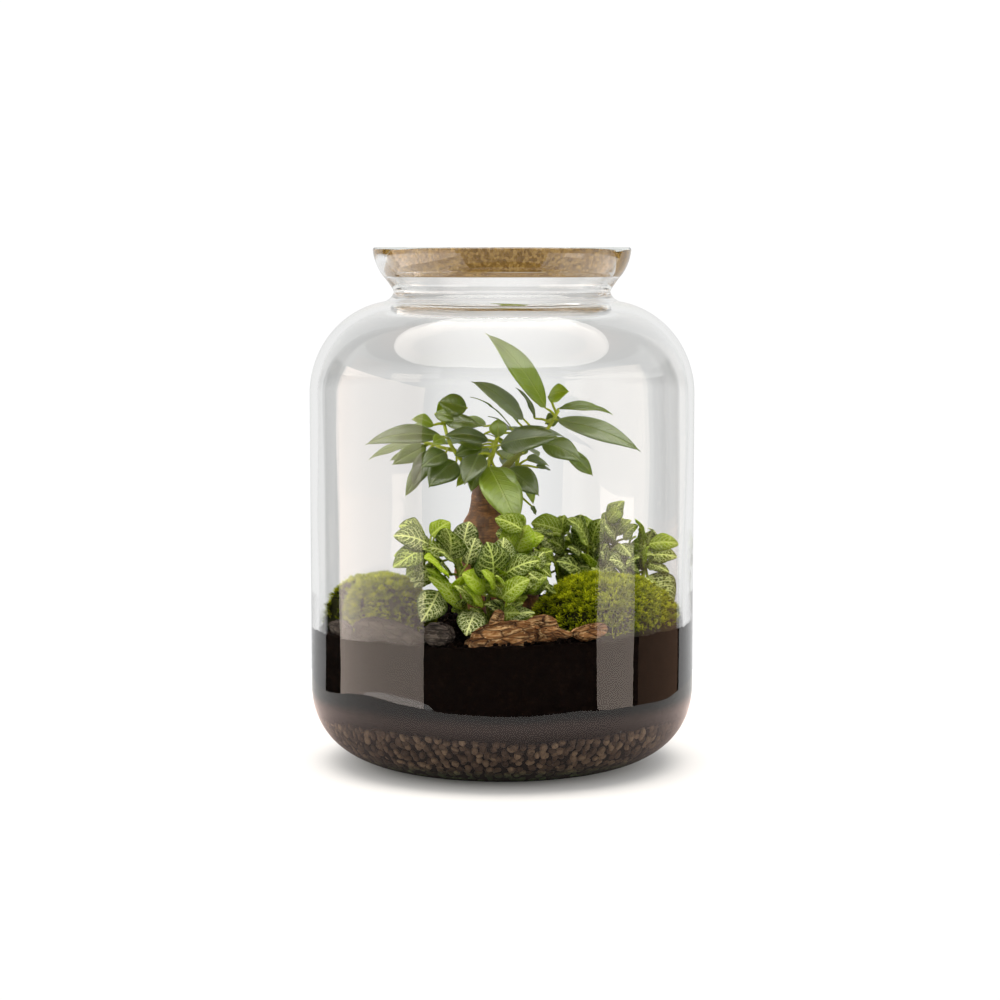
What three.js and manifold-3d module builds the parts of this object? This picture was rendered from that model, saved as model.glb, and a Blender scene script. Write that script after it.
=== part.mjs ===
// A closed glass terrarium: a round blown jar with a flared rim and a tapered cork lid, and in it a layer
// of gravel, potting soil, two moss cushions, pieces of bark, a small fig bonsai and eight nerve plants.
// Units are millimetres and +Z is up. The origin is the centre of the jar's foot, on the ground.
import * as THREE from "three";
import { mergeVertices } from "three/addons/utils/BufferGeometryUtils.js";
import Module from "manifold-3d";

const wasm = await Module();
wasm.setup();

// Jar: outside sizes, and the thickness of its wall and its base.
const JAR_RADIUS = 115;
const JAR_HEIGHT = 309;
const WALL = 4.2;
const BASE = 8;
const FOOT_RADIUS = 60;
const FOOT_RING_WIDTH = 10;
const PUSH_UP = 1.6;
const CORNER_HEIGHT = 47;
const CORNER_POWER = 2.2;
const SHOULDER_START = 222;
const SHOULDER_RISE = 55.5;
const SHOULDER_RUN = 53;
const NECK_RADIUS = 64.6;
const NECK_HEIGHT = 282.6;
const FLARE_RADIUS = 72;
const FLARE_HEIGHT = 293.2;
const RIM_RADIUS = 77;
const NECK_WALL = 4;
const SHOULDER_TURN = 1.42;
const INNER_SHOULDER_TURN = 1.4;
const WAIST_BEND = { out: 0.8, down: 3.6 };
const FLARE_BEND = { out: 1.9, up: 4.2 };
const RIM_BEND = { radius: 76.2, height: 299.5 };
const LIP_DROP = 1.8;
const LIP_WIDTH = 2;
const JAR_FACETS = 32;
const CORNER_STEPS = 5;
const SHOULDER_STEPS = 5;

// Cork lid: a tapered plug that rests in the flare of the neck.
const CORK_TOP_RADIUS = 73.3;
const CORK_BOTTOM_RADIUS = 68.7;
const CORK_BOTTOM = 295.4;
const CORK_TOP = 308.3;
const CORK_CHAMFER = 0.9;
const SEAT_GAP = 0.35;
const SEAT_EDGE = 0.6;

// Fill: gravel below, soil above. Heights are above the ground, at the wall.
const GRAVEL_TOP = 31.5;
const GRAVEL_WAVE = 2.2;
const GRAIN_RELIEF = 1.5;
const SOIL_TOP = 84.5;
const SOIL_TILT = 2.6;
const SOIL_MOUND = 3.2;
const SOIL_RIPPLE = 0.9;
const FILL_GAP = 0.35;
const FILL_SEGMENTS = 48;

// Foliage.
const BLADE_THICKNESS = 0.7;
const SMALL_LEAF_WIDTH = 12.5;
const PETIOLE_RADIUS = 0.8;
const STEM_SIDES = 5;
const HOLE_GAP = 0.35;
const PEG_DEPTH = 9;

const FUSE_TOLERANCE = 0.04;

const COLOURS = {
  glass: 0xdfe9e2,
  cork: 0xc39a6b,
  gravel: 0x6b5643,
  soil: 0x2a1c13,
  moss: 0x6f7d16,
  bark: 0x9a6a3c,
  greyBark: 0x6f6154,
  trunk: 0x7d5a48,
  fig: 0x4c6a1e,
  nerve: 0x44662a,
  young: 0x8fae2a,
};

const point = (x, y, z) => new THREE.Vector3(x, y, z);

// Repeatable pseudo-random numbers between 0 and 1.
function randomFrom(seed) {
  let state = seed >>> 0;
  return () => {
    state = (Math.imul(state, 1664525) + 1013904223) >>> 0;
    return state / 4294967296;
  };
}

// ---------------------------------------------------------------- solids

// A closed geometry as a manifold solid, with its faces turned outwards.
function solidOf(geometry) {
  const bare = new THREE.BufferGeometry();
  bare.setAttribute("position", geometry.getAttribute("position").clone());
  if (geometry.index) bare.setIndex(geometry.index.clone());
  const merged = mergeVertices(bare, 1e-4);
  const corners = [];
  const index = merged.index.array;
  for (let i = 0; i < index.length; i += 3) {
    const [a, b, c] = [index[i], index[i + 1], index[i + 2]];
    if (a !== b && b !== c && a !== c) corners.push(a, b, c);
  }
  const make = (triVerts) =>
    new wasm.Manifold(
      new wasm.Mesh({ numProp: 3, vertProperties: merged.attributes.position.array, triVerts }),
    );
  const made = make(new Uint32Array(corners));
  if (made.volume() > 0) return made;
  const turned = corners.slice();
  for (let i = 0; i < turned.length; i += 3) {
    [turned[i + 1], turned[i + 2]] = [turned[i + 2], turned[i + 1]];
  }
  return make(new Uint32Array(turned));
}

function geometryOf(solid) {
  const mesh = solid.getMesh();
  const positions = new Float32Array(mesh.numVert * 3);
  for (let i = 0; i < mesh.numVert; i++) {
    positions.set(mesh.vertProperties.subarray(i * mesh.numProp, i * mesh.numProp + 3), i * 3);
  }
  const geometry = new THREE.BufferGeometry();
  geometry.setAttribute("position", new THREE.BufferAttribute(positions, 3));
  geometry.setIndex(new THREE.BufferAttribute(mesh.triVerts, 1));
  geometry.computeVertexNormals();
  return geometry;
}

// The largest body of a solid: hollows that were sealed are filled, and loose scraps are dropped.
function largestBody(solid) {
  const bodies = solid.decompose().sort((a, b) => b.volume() - a.volume());
  return bodies[0];
}

// Solids fused into one, without facets too small to see.
const join = (solids) =>
  largestBody(solids.reduce((whole, next) => whole.add(next)).simplify(FUSE_TOLERANCE));

// A closed solid through a row of rings with equal counts. A ring of one point closes an end.
function loft(rings) {
  const positions = [];
  const starts = rings.map((ring) => {
    const start = positions.length / 3;
    ring.forEach((p) => positions.push(p.x, p.y, p.z));
    return start;
  });
  const index = [];
  const count = Math.max(...rings.map((ring) => ring.length));
  for (let k = 0; k + 1 < rings.length; k++) {
    const low = (i) => starts[k] + (rings[k].length === 1 ? 0 : i % count);
    const high = (i) => starts[k + 1] + (rings[k + 1].length === 1 ? 0 : i % count);
    for (let i = 0; i < count; i++) {
      if (rings[k].length > 1) index.push(low(i), low(i + 1), high(i + 1));
      if (rings[k + 1].length > 1) index.push(low(i), high(i + 1), high(i));
    }
  }
  const geometry = new THREE.BufferGeometry();
  geometry.setAttribute("position", new THREE.Float32BufferAttribute(positions, 3));
  geometry.setIndex(index);
  return solidOf(geometry);
}

const centreOf = (ring) =>
  ring.reduce((sum, p) => sum.add(p), point(0, 0, 0)).divideScalar(ring.length);

const capped = (rings) => loft([[centreOf(rings[0])], ...rings, [centreOf(rings[rings.length - 1])]]);

// A tube through points, with a radius for each and flat ends square to its path.
function tube(points, radii, sides) {
  const rings = points.map((p, i) => {
    const before = points[Math.max(i - 1, 0)];
    const after = points[Math.min(i + 1, points.length - 1)];
    const along = after.clone().sub(before).normalize();
    const side = point(1, 0, 0).addScaledVector(along, -along.x).normalize();
    const across = along.clone().cross(side);
    return Array.from({ length: sides }, (_, s) => {
      const turn = (2 * Math.PI * s) / sides;
      return p
        .clone()
        .addScaledVector(side, radii[i] * Math.cos(turn))
        .addScaledVector(across, radii[i] * Math.sin(turn));
    });
  });
  return capped(rings);
}

function peg(x, y, radius, bottom, top, sides) {
  const geometry = new THREE.CylinderGeometry(radius, radius, top - bottom, sides);
  geometry.rotateX(Math.PI / 2).translate(x, y, (top + bottom) / 2);
  return solidOf(geometry);
}

// ---------------------------------------------------------------- jar and lid

// One quarter of a superellipse, from the foot up to the wall.
function cornerPoints(footRadius, wallRadius, bottom) {
  const power = 2 / CORNER_POWER;
  return Array.from({ length: CORNER_STEPS + 1 }, (_, i) => {
    const turn = ((Math.PI / 2) * i) / CORNER_STEPS;
    const radius = footRadius + (wallRadius - footRadius) * Math.sin(turn) ** power;
    return new THREE.Vector2(radius, CORNER_HEIGHT - (CORNER_HEIGHT - bottom) * Math.cos(turn) ** power);
  });
}

// The shoulder's quarter ellipse, up to the foot of the neck.
function shoulderPoints(offset, lastTurn) {
  const centre = JAR_RADIUS - SHOULDER_RUN;
  return Array.from({ length: SHOULDER_STEPS + 1 }, (_, i) => {
    const turn = (lastTurn * i) / SHOULDER_STEPS;
    const radius = centre + (SHOULDER_RUN - offset) * Math.cos(turn);
    return new THREE.Vector2(radius, SHOULDER_START + (SHOULDER_RISE - offset) * Math.sin(turn));
  });
}

const bend = (from, control, to, steps) =>
  new THREE.QuadraticBezierCurve(from, control, to).getPoints(steps);

const at = (radius, height) => new THREE.Vector2(radius, height);

// The turned profile of a closed solid about the Z axis.
function turned(profile) {
  const geometry = new THREE.LatheGeometry(profile, JAR_FACETS);
  return solidOf(geometry.rotateX(Math.PI / 2));
}

const corkRadius = (height) =>
  CORK_BOTTOM_RADIUS +
  ((height - CORK_BOTTOM) * (CORK_TOP_RADIUS - CORK_BOTTOM_RADIUS)) / (CORK_TOP - CORK_BOTTOM);

function jar() {
  const outerShoulder = shoulderPoints(0, SHOULDER_TURN);
  const innerShoulder = shoulderPoints(WALL, INNER_SHOULDER_TURN);
  const outerNeck = outerShoulder[outerShoulder.length - 1];
  const innerNeck = innerShoulder[innerShoulder.length - 1];
  const seatTop = at(corkRadius(CORK_TOP) + SEAT_GAP, CORK_TOP - SEAT_EDGE);
  const neck = at(NECK_RADIUS, NECK_HEIGHT);
  const flare = at(FLARE_RADIUS, FLARE_HEIGHT);
  const lip = at(RIM_RADIUS, JAR_HEIGHT - LIP_DROP);
  const seatBottom = at(corkRadius(FLARE_HEIGHT) + SEAT_GAP, FLARE_HEIGHT);
  const throat = at(NECK_RADIUS - NECK_WALL, NECK_HEIGHT);
  const waist = (low, high) =>
    bend(low, at(high.x + WAIST_BEND.out, high.y - WAIST_BEND.down), high, 2).slice(1);
  const ringInside = FOOT_RADIUS - FOOT_RING_WIDTH;
  const outside = [
    at(0, PUSH_UP),
    at(ringInside * 0.6, PUSH_UP * 0.8),
    at(ringInside - 3, PUSH_UP * 0.2),
    at(ringInside, 0),
    ...cornerPoints(FOOT_RADIUS, JAR_RADIUS, 0),
    ...outerShoulder,
    ...waist(outerNeck, neck),
    ...bend(neck, at(neck.x + FLARE_BEND.out, neck.y + FLARE_BEND.up), flare, 3).slice(1),
    ...bend(flare, at(RIM_BEND.radius, RIM_BEND.height), lip, 2).slice(1),
    at(RIM_RADIUS - 0.3 * LIP_WIDTH, JAR_HEIGHT - 0.3 * LIP_DROP),
    at(RIM_RADIUS - LIP_WIDTH, JAR_HEIGHT),
  ];
  const inside = [
    at(seatTop.x + SEAT_EDGE, JAR_HEIGHT - 0.1),
    seatTop,
    seatBottom,
    ...bend(seatBottom, at(throat.x + FLARE_BEND.out, throat.y + FLARE_BEND.up), throat, 2).slice(1),
    ...waist(innerNeck, throat).slice(0, -1).reverse(),
    innerNeck,
    ...innerShoulder.slice(0, -1).reverse(),
    ...cornerPoints(FOOT_RADIUS, JAR_RADIUS - WALL, BASE).reverse(),
    at(0, BASE),
  ];
  return turned([...outside, ...inside]);
}

function corkLid() {
  return turned([
    at(0, CORK_BOTTOM),
    at(CORK_BOTTOM_RADIUS - CORK_CHAMFER, CORK_BOTTOM),
    at(corkRadius(CORK_BOTTOM + CORK_CHAMFER), CORK_BOTTOM + CORK_CHAMFER),
    at(corkRadius(CORK_TOP - CORK_CHAMFER), CORK_TOP - CORK_CHAMFER),
    at(CORK_TOP_RADIUS - CORK_CHAMFER, CORK_TOP),
    at(0, CORK_TOP),
  ]);
}

// ---------------------------------------------------------------- gravel and soil

const INNER_CORNER = cornerPoints(FOOT_RADIUS, JAR_RADIUS - WALL, BASE);

// The inside radius of the jar at a height, less the fill's gap, on the flats of its facets.
function fillRadius(height, angle) {
  const flat = Math.PI / JAR_FACETS;
  const offset = ((angle % (2 * flat)) + 2 * flat) % (2 * flat);
  const above = INNER_CORNER.findIndex((p) => p.y > height);
  let radius = JAR_RADIUS - WALL;
  if (above > 0) {
    const [low, high] = [INNER_CORNER[above - 1], INNER_CORNER[above]];
    radius = low.x + ((high.x - low.x) * (height - low.y)) / (high.y - low.y);
  }
  return ((radius - FILL_GAP - 0.1) * Math.cos(flat)) / Math.cos(offset - flat);
}

const gravelHeight = (x, y) =>
  GRAVEL_TOP + GRAVEL_WAVE * Math.sin(x / 26 + 1.1) * Math.cos(y / 31 - 0.5) - (1.4 * y) / JAR_RADIUS;

function soilHeight(x, y) {
  const reach = (x * x + y * y) / JAR_RADIUS ** 2;
  const ripple = SOIL_RIPPLE * Math.sin(x / 13 + 0.7) * Math.cos(y / 15 - 0.4);
  return SOIL_TOP + (SOIL_TILT * (x - 0.4 * y)) / JAR_RADIUS + SOIL_MOUND * (1 - reach) + ripple;
}

const ringOf = (radius, height) =>
  Array.from({ length: FILL_SEGMENTS }, (_, i) => {
    const angle = (2 * Math.PI * i) / FILL_SEGMENTS;
    const r = typeof radius === "function" ? radius(angle, i) : radius;
    const [x, y] = [r * Math.cos(angle), r * Math.sin(angle)];
    return point(x, y, height(x, y, angle, i));
  });

// The ring where a wavy surface meets the glass.
function shoreRing(surface, inset = 0) {
  return ringOf(
    (angle) => {
      let radius = fillRadius(GRAVEL_TOP, angle);
      for (let pass = 0; pass < 4; pass++) {
        radius = fillRadius(surface(radius * Math.cos(angle), radius * Math.sin(angle)), angle);
      }
      return radius - inset;
    },
    surface,
  );
}

const GRAVEL_RINGS = [55];

function gravelLayer() {
  const random = randomFrom(11);
  const floor = BASE + FILL_GAP;
  const rows = 5;
  const shore = shoreRing(gravelHeight);
  const sides = [];
  for (let row = 1; row < rows; row++) {
    sides.push(
      shore.map((edge, i) => {
        const angle = (2 * Math.PI * i) / FILL_SEGMENTS;
        const height = floor + ((edge.z - floor) * row) / rows + (random() - 0.5) * 1.4;
        const radius = fillRadius(height, angle) - GRAIN_RELIEF * random();
        return point(radius * Math.cos(angle), radius * Math.sin(angle), height);
      }),
    );
  }
  return loft([
    [point(0, 0, floor)],
    ringOf(FOOT_RADIUS - 1, () => floor),
    ...sides,
    shore,
    ...GRAVEL_RINGS.map((radius) => ringOf(radius, gravelHeight)),
    [point(0, 0, gravelHeight(0, 0))],
  ]);
}

// The soil, or with a lift the space that it takes up, which seats what lies on it.
function soilBody(lift) {
  const top = (x, y) => soilHeight(x, y) + lift;
  const bottom = (x, y) => gravelHeight(x, y) + FILL_GAP;
  const shore = shoreRing(bottom);
  const edge = shoreRing(top);
  const sides = [0.55, 0.8].map((share) =>
    edge.map((high, i) => {
      const angle = (2 * Math.PI * i) / FILL_SEGMENTS;
      const height = high.z + (shore[i].z - high.z) * share;
      const radius = fillRadius(height, angle);
      return point(radius * Math.cos(angle), radius * Math.sin(angle), height);
    }),
  );
  return loft([
    [point(0, 0, top(0, 0))],
    ...[30, 60, 88].map((radius) => ringOf(radius, top)),
    edge,
    ...sides,
    shore,
    ...GRAVEL_RINGS.map((radius) => ringOf(radius, bottom)),
    [point(0, 0, bottom(0, 0))],
  ]);
}

const soilSpace = soilBody(0.3);

// ---------------------------------------------------------------- moss and bark

const MOSS_SEGMENTS = 24;
const MOSS_SHARES = [0.96, 0.84, 0.66, 0.45, 0.22];
const MOSS_RELIEF = 3.2;
const MOSS_EDGE = 1.5;
const MOSS_ROOM = 14;

// A cushion of moss: its footprint is an ellipse that stops at the glass and at the bark before it.
function mossCushion({ x, y, halfWidth, halfDepth, height, reach, seed }) {
  const random = randomFrom(seed);
  const footprint = (turn) => {
    const [c, s] = [Math.cos(turn), Math.sin(turn)];
    let span = 1 / Math.hypot(c / halfWidth, s / halfDepth);
    while (Math.hypot(x + span * c, y + span * s) > reach(x + span * c, y + span * s)) span -= 0.25;
    return span;
  };
  const ring = (share, heightAt) =>
    Array.from({ length: MOSS_SEGMENTS }, (_, i) => {
      const turn = (2 * Math.PI * i) / MOSS_SEGMENTS;
      const span = footprint(turn) * share;
      const [px, py] = [x + span * Math.cos(turn), y + span * Math.sin(turn)];
      return point(px, py, heightAt(px, py));
    });
  const dome = (share) => height * (1 - share ** 2.6) ** 0.6;
  const floor = SOIL_TOP - MOSS_ROOM;
  const relief = () => MOSS_RELIEF * (random() - 0.5);
  return loft([
    [point(x, y, floor)],
    ring(1, () => floor),
    ring(1, (px, py) => soilHeight(px, py) + MOSS_EDGE),
    ...MOSS_SHARES.map((share) => ring(share, (px, py) => soilHeight(px, py) + dome(share) + relief())),
    [point(x, y, soilHeight(x, y) + height)],
  ]).subtract(soilSpace);
}

// A flake of bark: an uneven outline, split in layers that step back from each other.
function barkFlake({ length, width, layers, seed, place, turn }) {
  const random = randomFrom(seed);
  const corners = 9;
  const sheet = (scale) => {
    const outline = Array.from({ length: corners }, (_, i) => {
      const angle = (2 * Math.PI * i) / corners;
      const reach = scale * (0.82 + 0.3 * random());
      return at((reach * length * Math.cos(angle)) / 2, (reach * width * Math.sin(angle)) / 2);
    });
    return new THREE.Shape(outline);
  };
  let depth = 0;
  const slabs = layers.map((thickness, i) => {
    const geometry = new THREE.ExtrudeGeometry(sheet(1 - 0.14 * i), {
      depth: thickness,
      bevelEnabled: false,
    });
    geometry.translate(1.4 * i * (random() - 0.5), 0, depth);
    depth += thickness - 0.4;
    return solidOf(geometry);
  });
  const matrix = new THREE.Matrix4()
    .makeRotationFromEuler(new THREE.Euler(...turn.map(THREE.MathUtils.degToRad), "ZYX"))
    .setPosition(...place);
  return join(slabs).transform(matrix.elements).subtract(soilSpace);
}

// ---------------------------------------------------------------- leaves

// A leaf: a petiole from its root on the stem to the blade's base, then the blade, waved and folded along
// its midrib. Both faces are split into triangles alike.
function leaf({ root, base, tip, width, roll, arch, fold, wave, stations, shape }) {
  const run = tip.clone().sub(base);
  const length = run.length();
  const along = run.clone().normalize();
  const up = point(0, -0.35, 1);
  const normal = up.addScaledVector(along, -up.dot(along)).normalize();
  normal.applyAxisAngle(along, THREE.MathUtils.degToRad(roll));
  const side = along.clone().cross(normal);
  const row = (centre, half, thickness, lift = 0, ripple = 0) =>
    [-1, 0, 1].map((edge) => {
      const raised = lift + Math.abs(edge) * half * fold + ripple * edge;
      return {
        centre: centre.clone().addScaledVector(side, edge * half).addScaledVector(normal, raised),
        thickness,
      };
    });
  const rows = [row(root, PETIOLE_RADIUS * 0.5, PETIOLE_RADIUS)];
  stations.forEach((t, i) => {
    const half = t === 0 ? PETIOLE_RADIUS : Math.max((width / 2) * shape(t), 0.4);
    const lift = arch * length * 4 * t * (1 - t) - 0.05 * length * t ** 6;
    const thickness = t === 0 ? PETIOLE_RADIUS * 1.7 : BLADE_THICKNESS;
    rows.push(row(base.clone().addScaledVector(run, t), half, thickness, lift, wave * (i % 2 ? 1 : -1)));
  });
  const positions = [];
  for (const face of [0.5, -0.5]) {
    for (const { centre, thickness } of rows.flat()) {
      const q = centre.clone().addScaledVector(normal, face * thickness);
      positions.push(q.x, q.y, q.z);
    }
  }
  const under = rows.length * 3;
  const last = rows.length - 1;
  const id = (i, column) => i * 3 + column;
  const index = [];
  const quad = (a, b, c, d) => {
    index.push(a, b, c, a, c, d);
  };
  const rim = (a, b) => quad(a, b, under + b, under + a);
  for (let i = 0; i < last; i++) {
    for (const column of [0, 1]) {
      const [a, b] = [id(i, column), id(i, column + 1)];
      const [c, d] = [id(i + 1, column + 1), id(i + 1, column)];
      quad(a, b, c, d);
      index.push(under + a, under + c, under + b, under + a, under + d, under + c);
    }
    rim(id(i, 0), id(i + 1, 0));
    rim(id(i + 1, 2), id(i, 2));
  }
  for (const column of [0, 1]) {
    rim(id(0, column + 1), id(0, column));
    rim(id(last, column), id(last, column + 1));
  }
  const geometry = new THREE.BufferGeometry();
  geometry.setAttribute("position", new THREE.Float32BufferAttribute(positions, 3));
  geometry.setIndex(index);
  return solidOf(geometry);
}

const KINDS = {
  fig: {
    stations: [0, 0.18, 0.48, 0.8, 1],
    smallStations: [0, 0.25, 0.7, 1],
    shape: (t) => Math.max(Math.sin(Math.PI * t ** 0.85), 0) ** 0.8,
    breadth: 1.08,
    arch: 0.07,
    fold: 0.18,
    wave: 0,
  },
  nerve: {
    stations: [0, 0.2, 0.5, 0.8, 1],
    smallStations: [0, 0.3, 0.72, 1],
    shape: (t) => Math.max(Math.sin(Math.PI * t ** 0.84), 0) ** 0.72,
    breadth: 1.32,
    arch: 0.08,
    fold: 0.1,
    wave: 0.25,
  },
};

// The place on a stem where a leaf's petiole starts: the nearest one, a little below its end.
function petioleRoot(paths, target, below) {
  let best = null;
  for (const path of paths) {
    for (let i = 0; i + 1 < path.length; i++) {
      const stretch = new THREE.Line3(path[i], path[i + 1]);
      const share = Math.min(stretch.closestPointToPointParameter(target, true), 1 - below / stretch.distance());
      const found = stretch.at(Math.max(share, 0), point(0, 0, 0));
      if (!best || found.distanceTo(target) < best.distanceTo(target)) best = found;
    }
  }
  return best;
}

// A leafy stem: forked tubes, and on them leaves given as base x, y, z, tip x, y, z, width and roll.
function leafyStem(kind, stems, leaves) {
  const paths = stems.map((stem) => stem.points.map((p) => point(...p)));
  const parts = paths.map((path, i) => {
    const { from, to } = stems[i];
    const radii = path.map((_, k) => from + ((to - from) * k) / (path.length - 1));
    return tube(path, radii, STEM_SIDES);
  });
  leaves.forEach(([bx, by, bz, tx, ty, tz, width, roll], i) => {
    const [base, tip] = [point(bx, by, bz), point(tx, ty, tz)];
    const root = petioleRoot(paths, base, 0.9 + 0.37 * (i % 5));
    const { breadth, ...form } = KINDS[kind];
    const stations = width < SMALL_LEAF_WIDTH ? form.smallStations : form.stations;
    parts.push(leaf({ root, base, tip, width: width * breadth, roll, ...form, stations }));
  });
  return join(parts);
}

// ---------------------------------------------------------------- fig

// Brown branch stubs: each ends where a green shoot goes on.
const STUBS = {
  left: [[-12, -1, 163], [-18, -2, 174], [-23, -6, 181]],
  centre: [[-11, -2, 163], [-10, -5, 170], [-9, -7, 175]],
  right: [[-10, 1, 163], [-1, 2, 174], [12, 0, 187]],
  back: [[-12, 3, 163], [-10, 9, 172], [-7, 14, 180]],
};
const STUB_RADIUS = 2.6;
const STUB_END_RADIUS = 1.9;

const SHOOTS = {
  left: {
    forks: [
      { points: [[-27.5, -9.2, 187], [-32, -7, 195], [-35, 1, 205]], from: 1.6, to: 1 },
      { points: [[-27, -8.5, 188], [-36, -8, 190], [-43, -2, 192]], from: 1.3, to: 0.9 },
    ],
    leaves: [
      [-36, -12, 197, -80, -24, 194, 13, -30],
      [-52, 4, 192, -81, 9, 182, 7, -20],
      [-46, 3, 190, -66, -9, 180, 11, -38],
      [-44, -7, 188, -53, -20, 167, 11, -18],
      [-33, -20, 188, -47, -36, 181, 12, -35],
      [-27, -16, 182, -43, -33, 169, 18, -24],
      [-39, 5, 208, -35, 11, 219, 6, 55],
      [-41, -2, 203, -54, -8, 207, 9, -32],
      [-42, 9, 202, -58, 20, 199, 10, -10],
      [-21, 3, 213, -38, -2, 217, 14, -40],
      [-34, -2, 205, -13, -9, 203, 10, 36],
    ],
  },
  centre: {
    forks: [{ points: [[-7.5, -9.9, 182.5], [-5, -12, 188], [-5, -10, 194]], from: 1.6, to: 1 }],
    leaves: [
      [-8, -14, 195, -34, -28, 199, 11, -32],
      [-1, -17, 192, 33, -36, 199, 18, 36],
      [-2, -6, 196, -2, -2, 207, 10, 0],
      [-8, -20, 180, 9, -46, 147, 23, 0],
      [-13, -20, 187, -22, -37, 171, 15, -6],
      [-12, -10, 190, -28, -16, 186, 11, -36],
      [-15, -15, 178, -27, -22, 168, 8, -20],
    ],
  },
  right: {
    forks: [
      { points: [[18.5, -1, 193.5], [27, 0, 200], [34, 5, 211]], from: 1.6, to: 1 },
      { points: [[18.5, -1, 193], [23, -7, 194], [28, -12, 192]], from: 1.3, to: 0.9 },
    ],
    leaves: [
      [26, 1, 213, -8, -13, 260, 17, -34],
      [13, 3, 206, -17, -9, 230.5, 15, -26],
      [20, 10, 206, 9, 16, 225, 6, 25],
      [6, 8, 200, -18, 14, 220, 6, 35],
      [28, 9, 219, 40, 2, 223, 13, 36],
      [33, -4, 206, 82, -20, 190, 14, 26],
      [34, 9, 212, 68, 18, 209, 9, 12],
      [24, -12, 193, 47, -24, 183, 14, 30],
      [38, -8, 188, 55, -6, 173, 10, 34],
    ],
  },
  low: {
    forks: [{ points: [[-5.1, -2, 161], [3, -2, 172], [10, 5, 178]], from: 1.4, to: 0.9 }],
    leaves: [
      [3, -8, 177, 22, -22, 163, 16, 22],
      [14, 2, 169, 19, 0, 155, 6, 10],
      [15, 10, 181, 29, 20, 177, 10, 15],
      [8, 12, 183, 13, 24, 187, 11, 0],
    ],
  },
  back: {
    forks: [{ points: [[-4.2, 18.7, 187.4], [-3, 24, 194], [-4, 26, 201]], from: 1.6, to: 1 }],
    leaves: [
      [-8, 27, 186, -15, 60, 176, 18, 0],
      [2, 28, 187, 24, 58, 180, 18, 0],
      [-12, 24, 191, -42, 42, 187, 15, 0],
      [0, 33, 197, 8, 62, 195, 16, 0],
      [6, 26, 196, 40, 44, 193, 15, 0],
      [-10, 30, 200, -34, 48, 201, 14, 0],
      [0, 24, 181, 10, 44, 164, 15, 0],
      [-14, 20, 182, -32, 38, 167, 15, 0],
    ],
  },
};

// The trunk: a slim neck that swells into a bulb and parts into three roots, each with a peg in the soil.
const ROOTS = [
  { points: [[-14, -1, 134], [-19, -4, 119], [-18, -6, 102], [-16, -7, 90]], radii: [11, 9.5, 8, 6.5] },
  { points: [[2, -3, 134], [3, -7, 118], [2, -9, 102], [2, -9, 90]], radii: [11, 10, 8.5, 6.5] },
  { points: [[8, 3, 134], [14, 7, 118], [16, 10, 102], [16, 11, 90]], radii: [9, 7.5, 6.5, 5.5] },
];
const BULB = [
  [-5, 0, 112, 12, 10],
  [-5, 0, 120, 17, 13.5],
  [-5, 0, 130, 19.5, 15.5],
  [-5.5, 0, 140, 18.5, 15],
  [-6.2, 0, 147, 15.2, 13.5],
  [-8, 0, 150, 12, 11],
  [-11.4, 0, 154, 7.6, 8],
  [-11.8, 0, 160, 6.1, 6.4],
  [-12, 0, 168, 5.6, 5.6],
];
const BULGE = { centre: [10, -5, 129], radii: [7.2, 6.4, 9.6] };
const ROOT_SIDES = 8;
const BULB_SIDES = 10;

function figTrunk() {
  const rings = BULB.map(([x, y, z, halfWidth, halfDepth]) =>
    Array.from({ length: BULB_SIDES }, (_, i) => {
      const turn = (2 * Math.PI * i) / BULB_SIDES;
      const swell = 1 + 0.05 * Math.sin(3 * turn + z / 9);
      return point(x + swell * halfWidth * Math.cos(turn), y + swell * halfDepth * Math.sin(turn), z);
    }),
  );
  const parts = [capped(rings)];
  for (const { points, radii } of ROOTS) {
    const path = points.map((p) => point(...p));
    const foot = path[path.length - 1];
    parts.push(tube(path, radii, ROOT_SIDES));
    parts.push(peg(foot.x, foot.y, radii[3] * 0.94, SOIL_TOP - PEG_DEPTH, foot.z + 3, ROOT_SIDES));
  }
  const bulge = new THREE.IcosahedronGeometry(1, 1).scale(...BULGE.radii).translate(...BULGE.centre);
  parts.push(solidOf(bulge));
  for (const stub of Object.values(STUBS)) {
    parts.push(tube(stub.map((p) => point(...p)), [STUB_RADIUS * 1.2, STUB_RADIUS, STUB_END_RADIUS], 6));
  }
  return join(parts);
}

// A shoot starts a hair's breadth past the end of its stub, square to it.
function shootForks(name) {
  const { forks } = SHOOTS[name];
  if (!STUBS[name]) return forks;
  const stub = STUBS[name].map((p) => point(...p));
  const end = stub[stub.length - 1];
  const along = end.clone().sub(stub[stub.length - 2]).normalize();
  const start = end.clone().addScaledVector(along, 0.3);
  const neck = start.clone().addScaledVector(along, 3);
  const [main, ...others] = forks;
  return [{ ...main, points: [start.toArray(), neck.toArray(), ...main.points] }, ...others];
}

// ---------------------------------------------------------------- nerve plants

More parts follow.
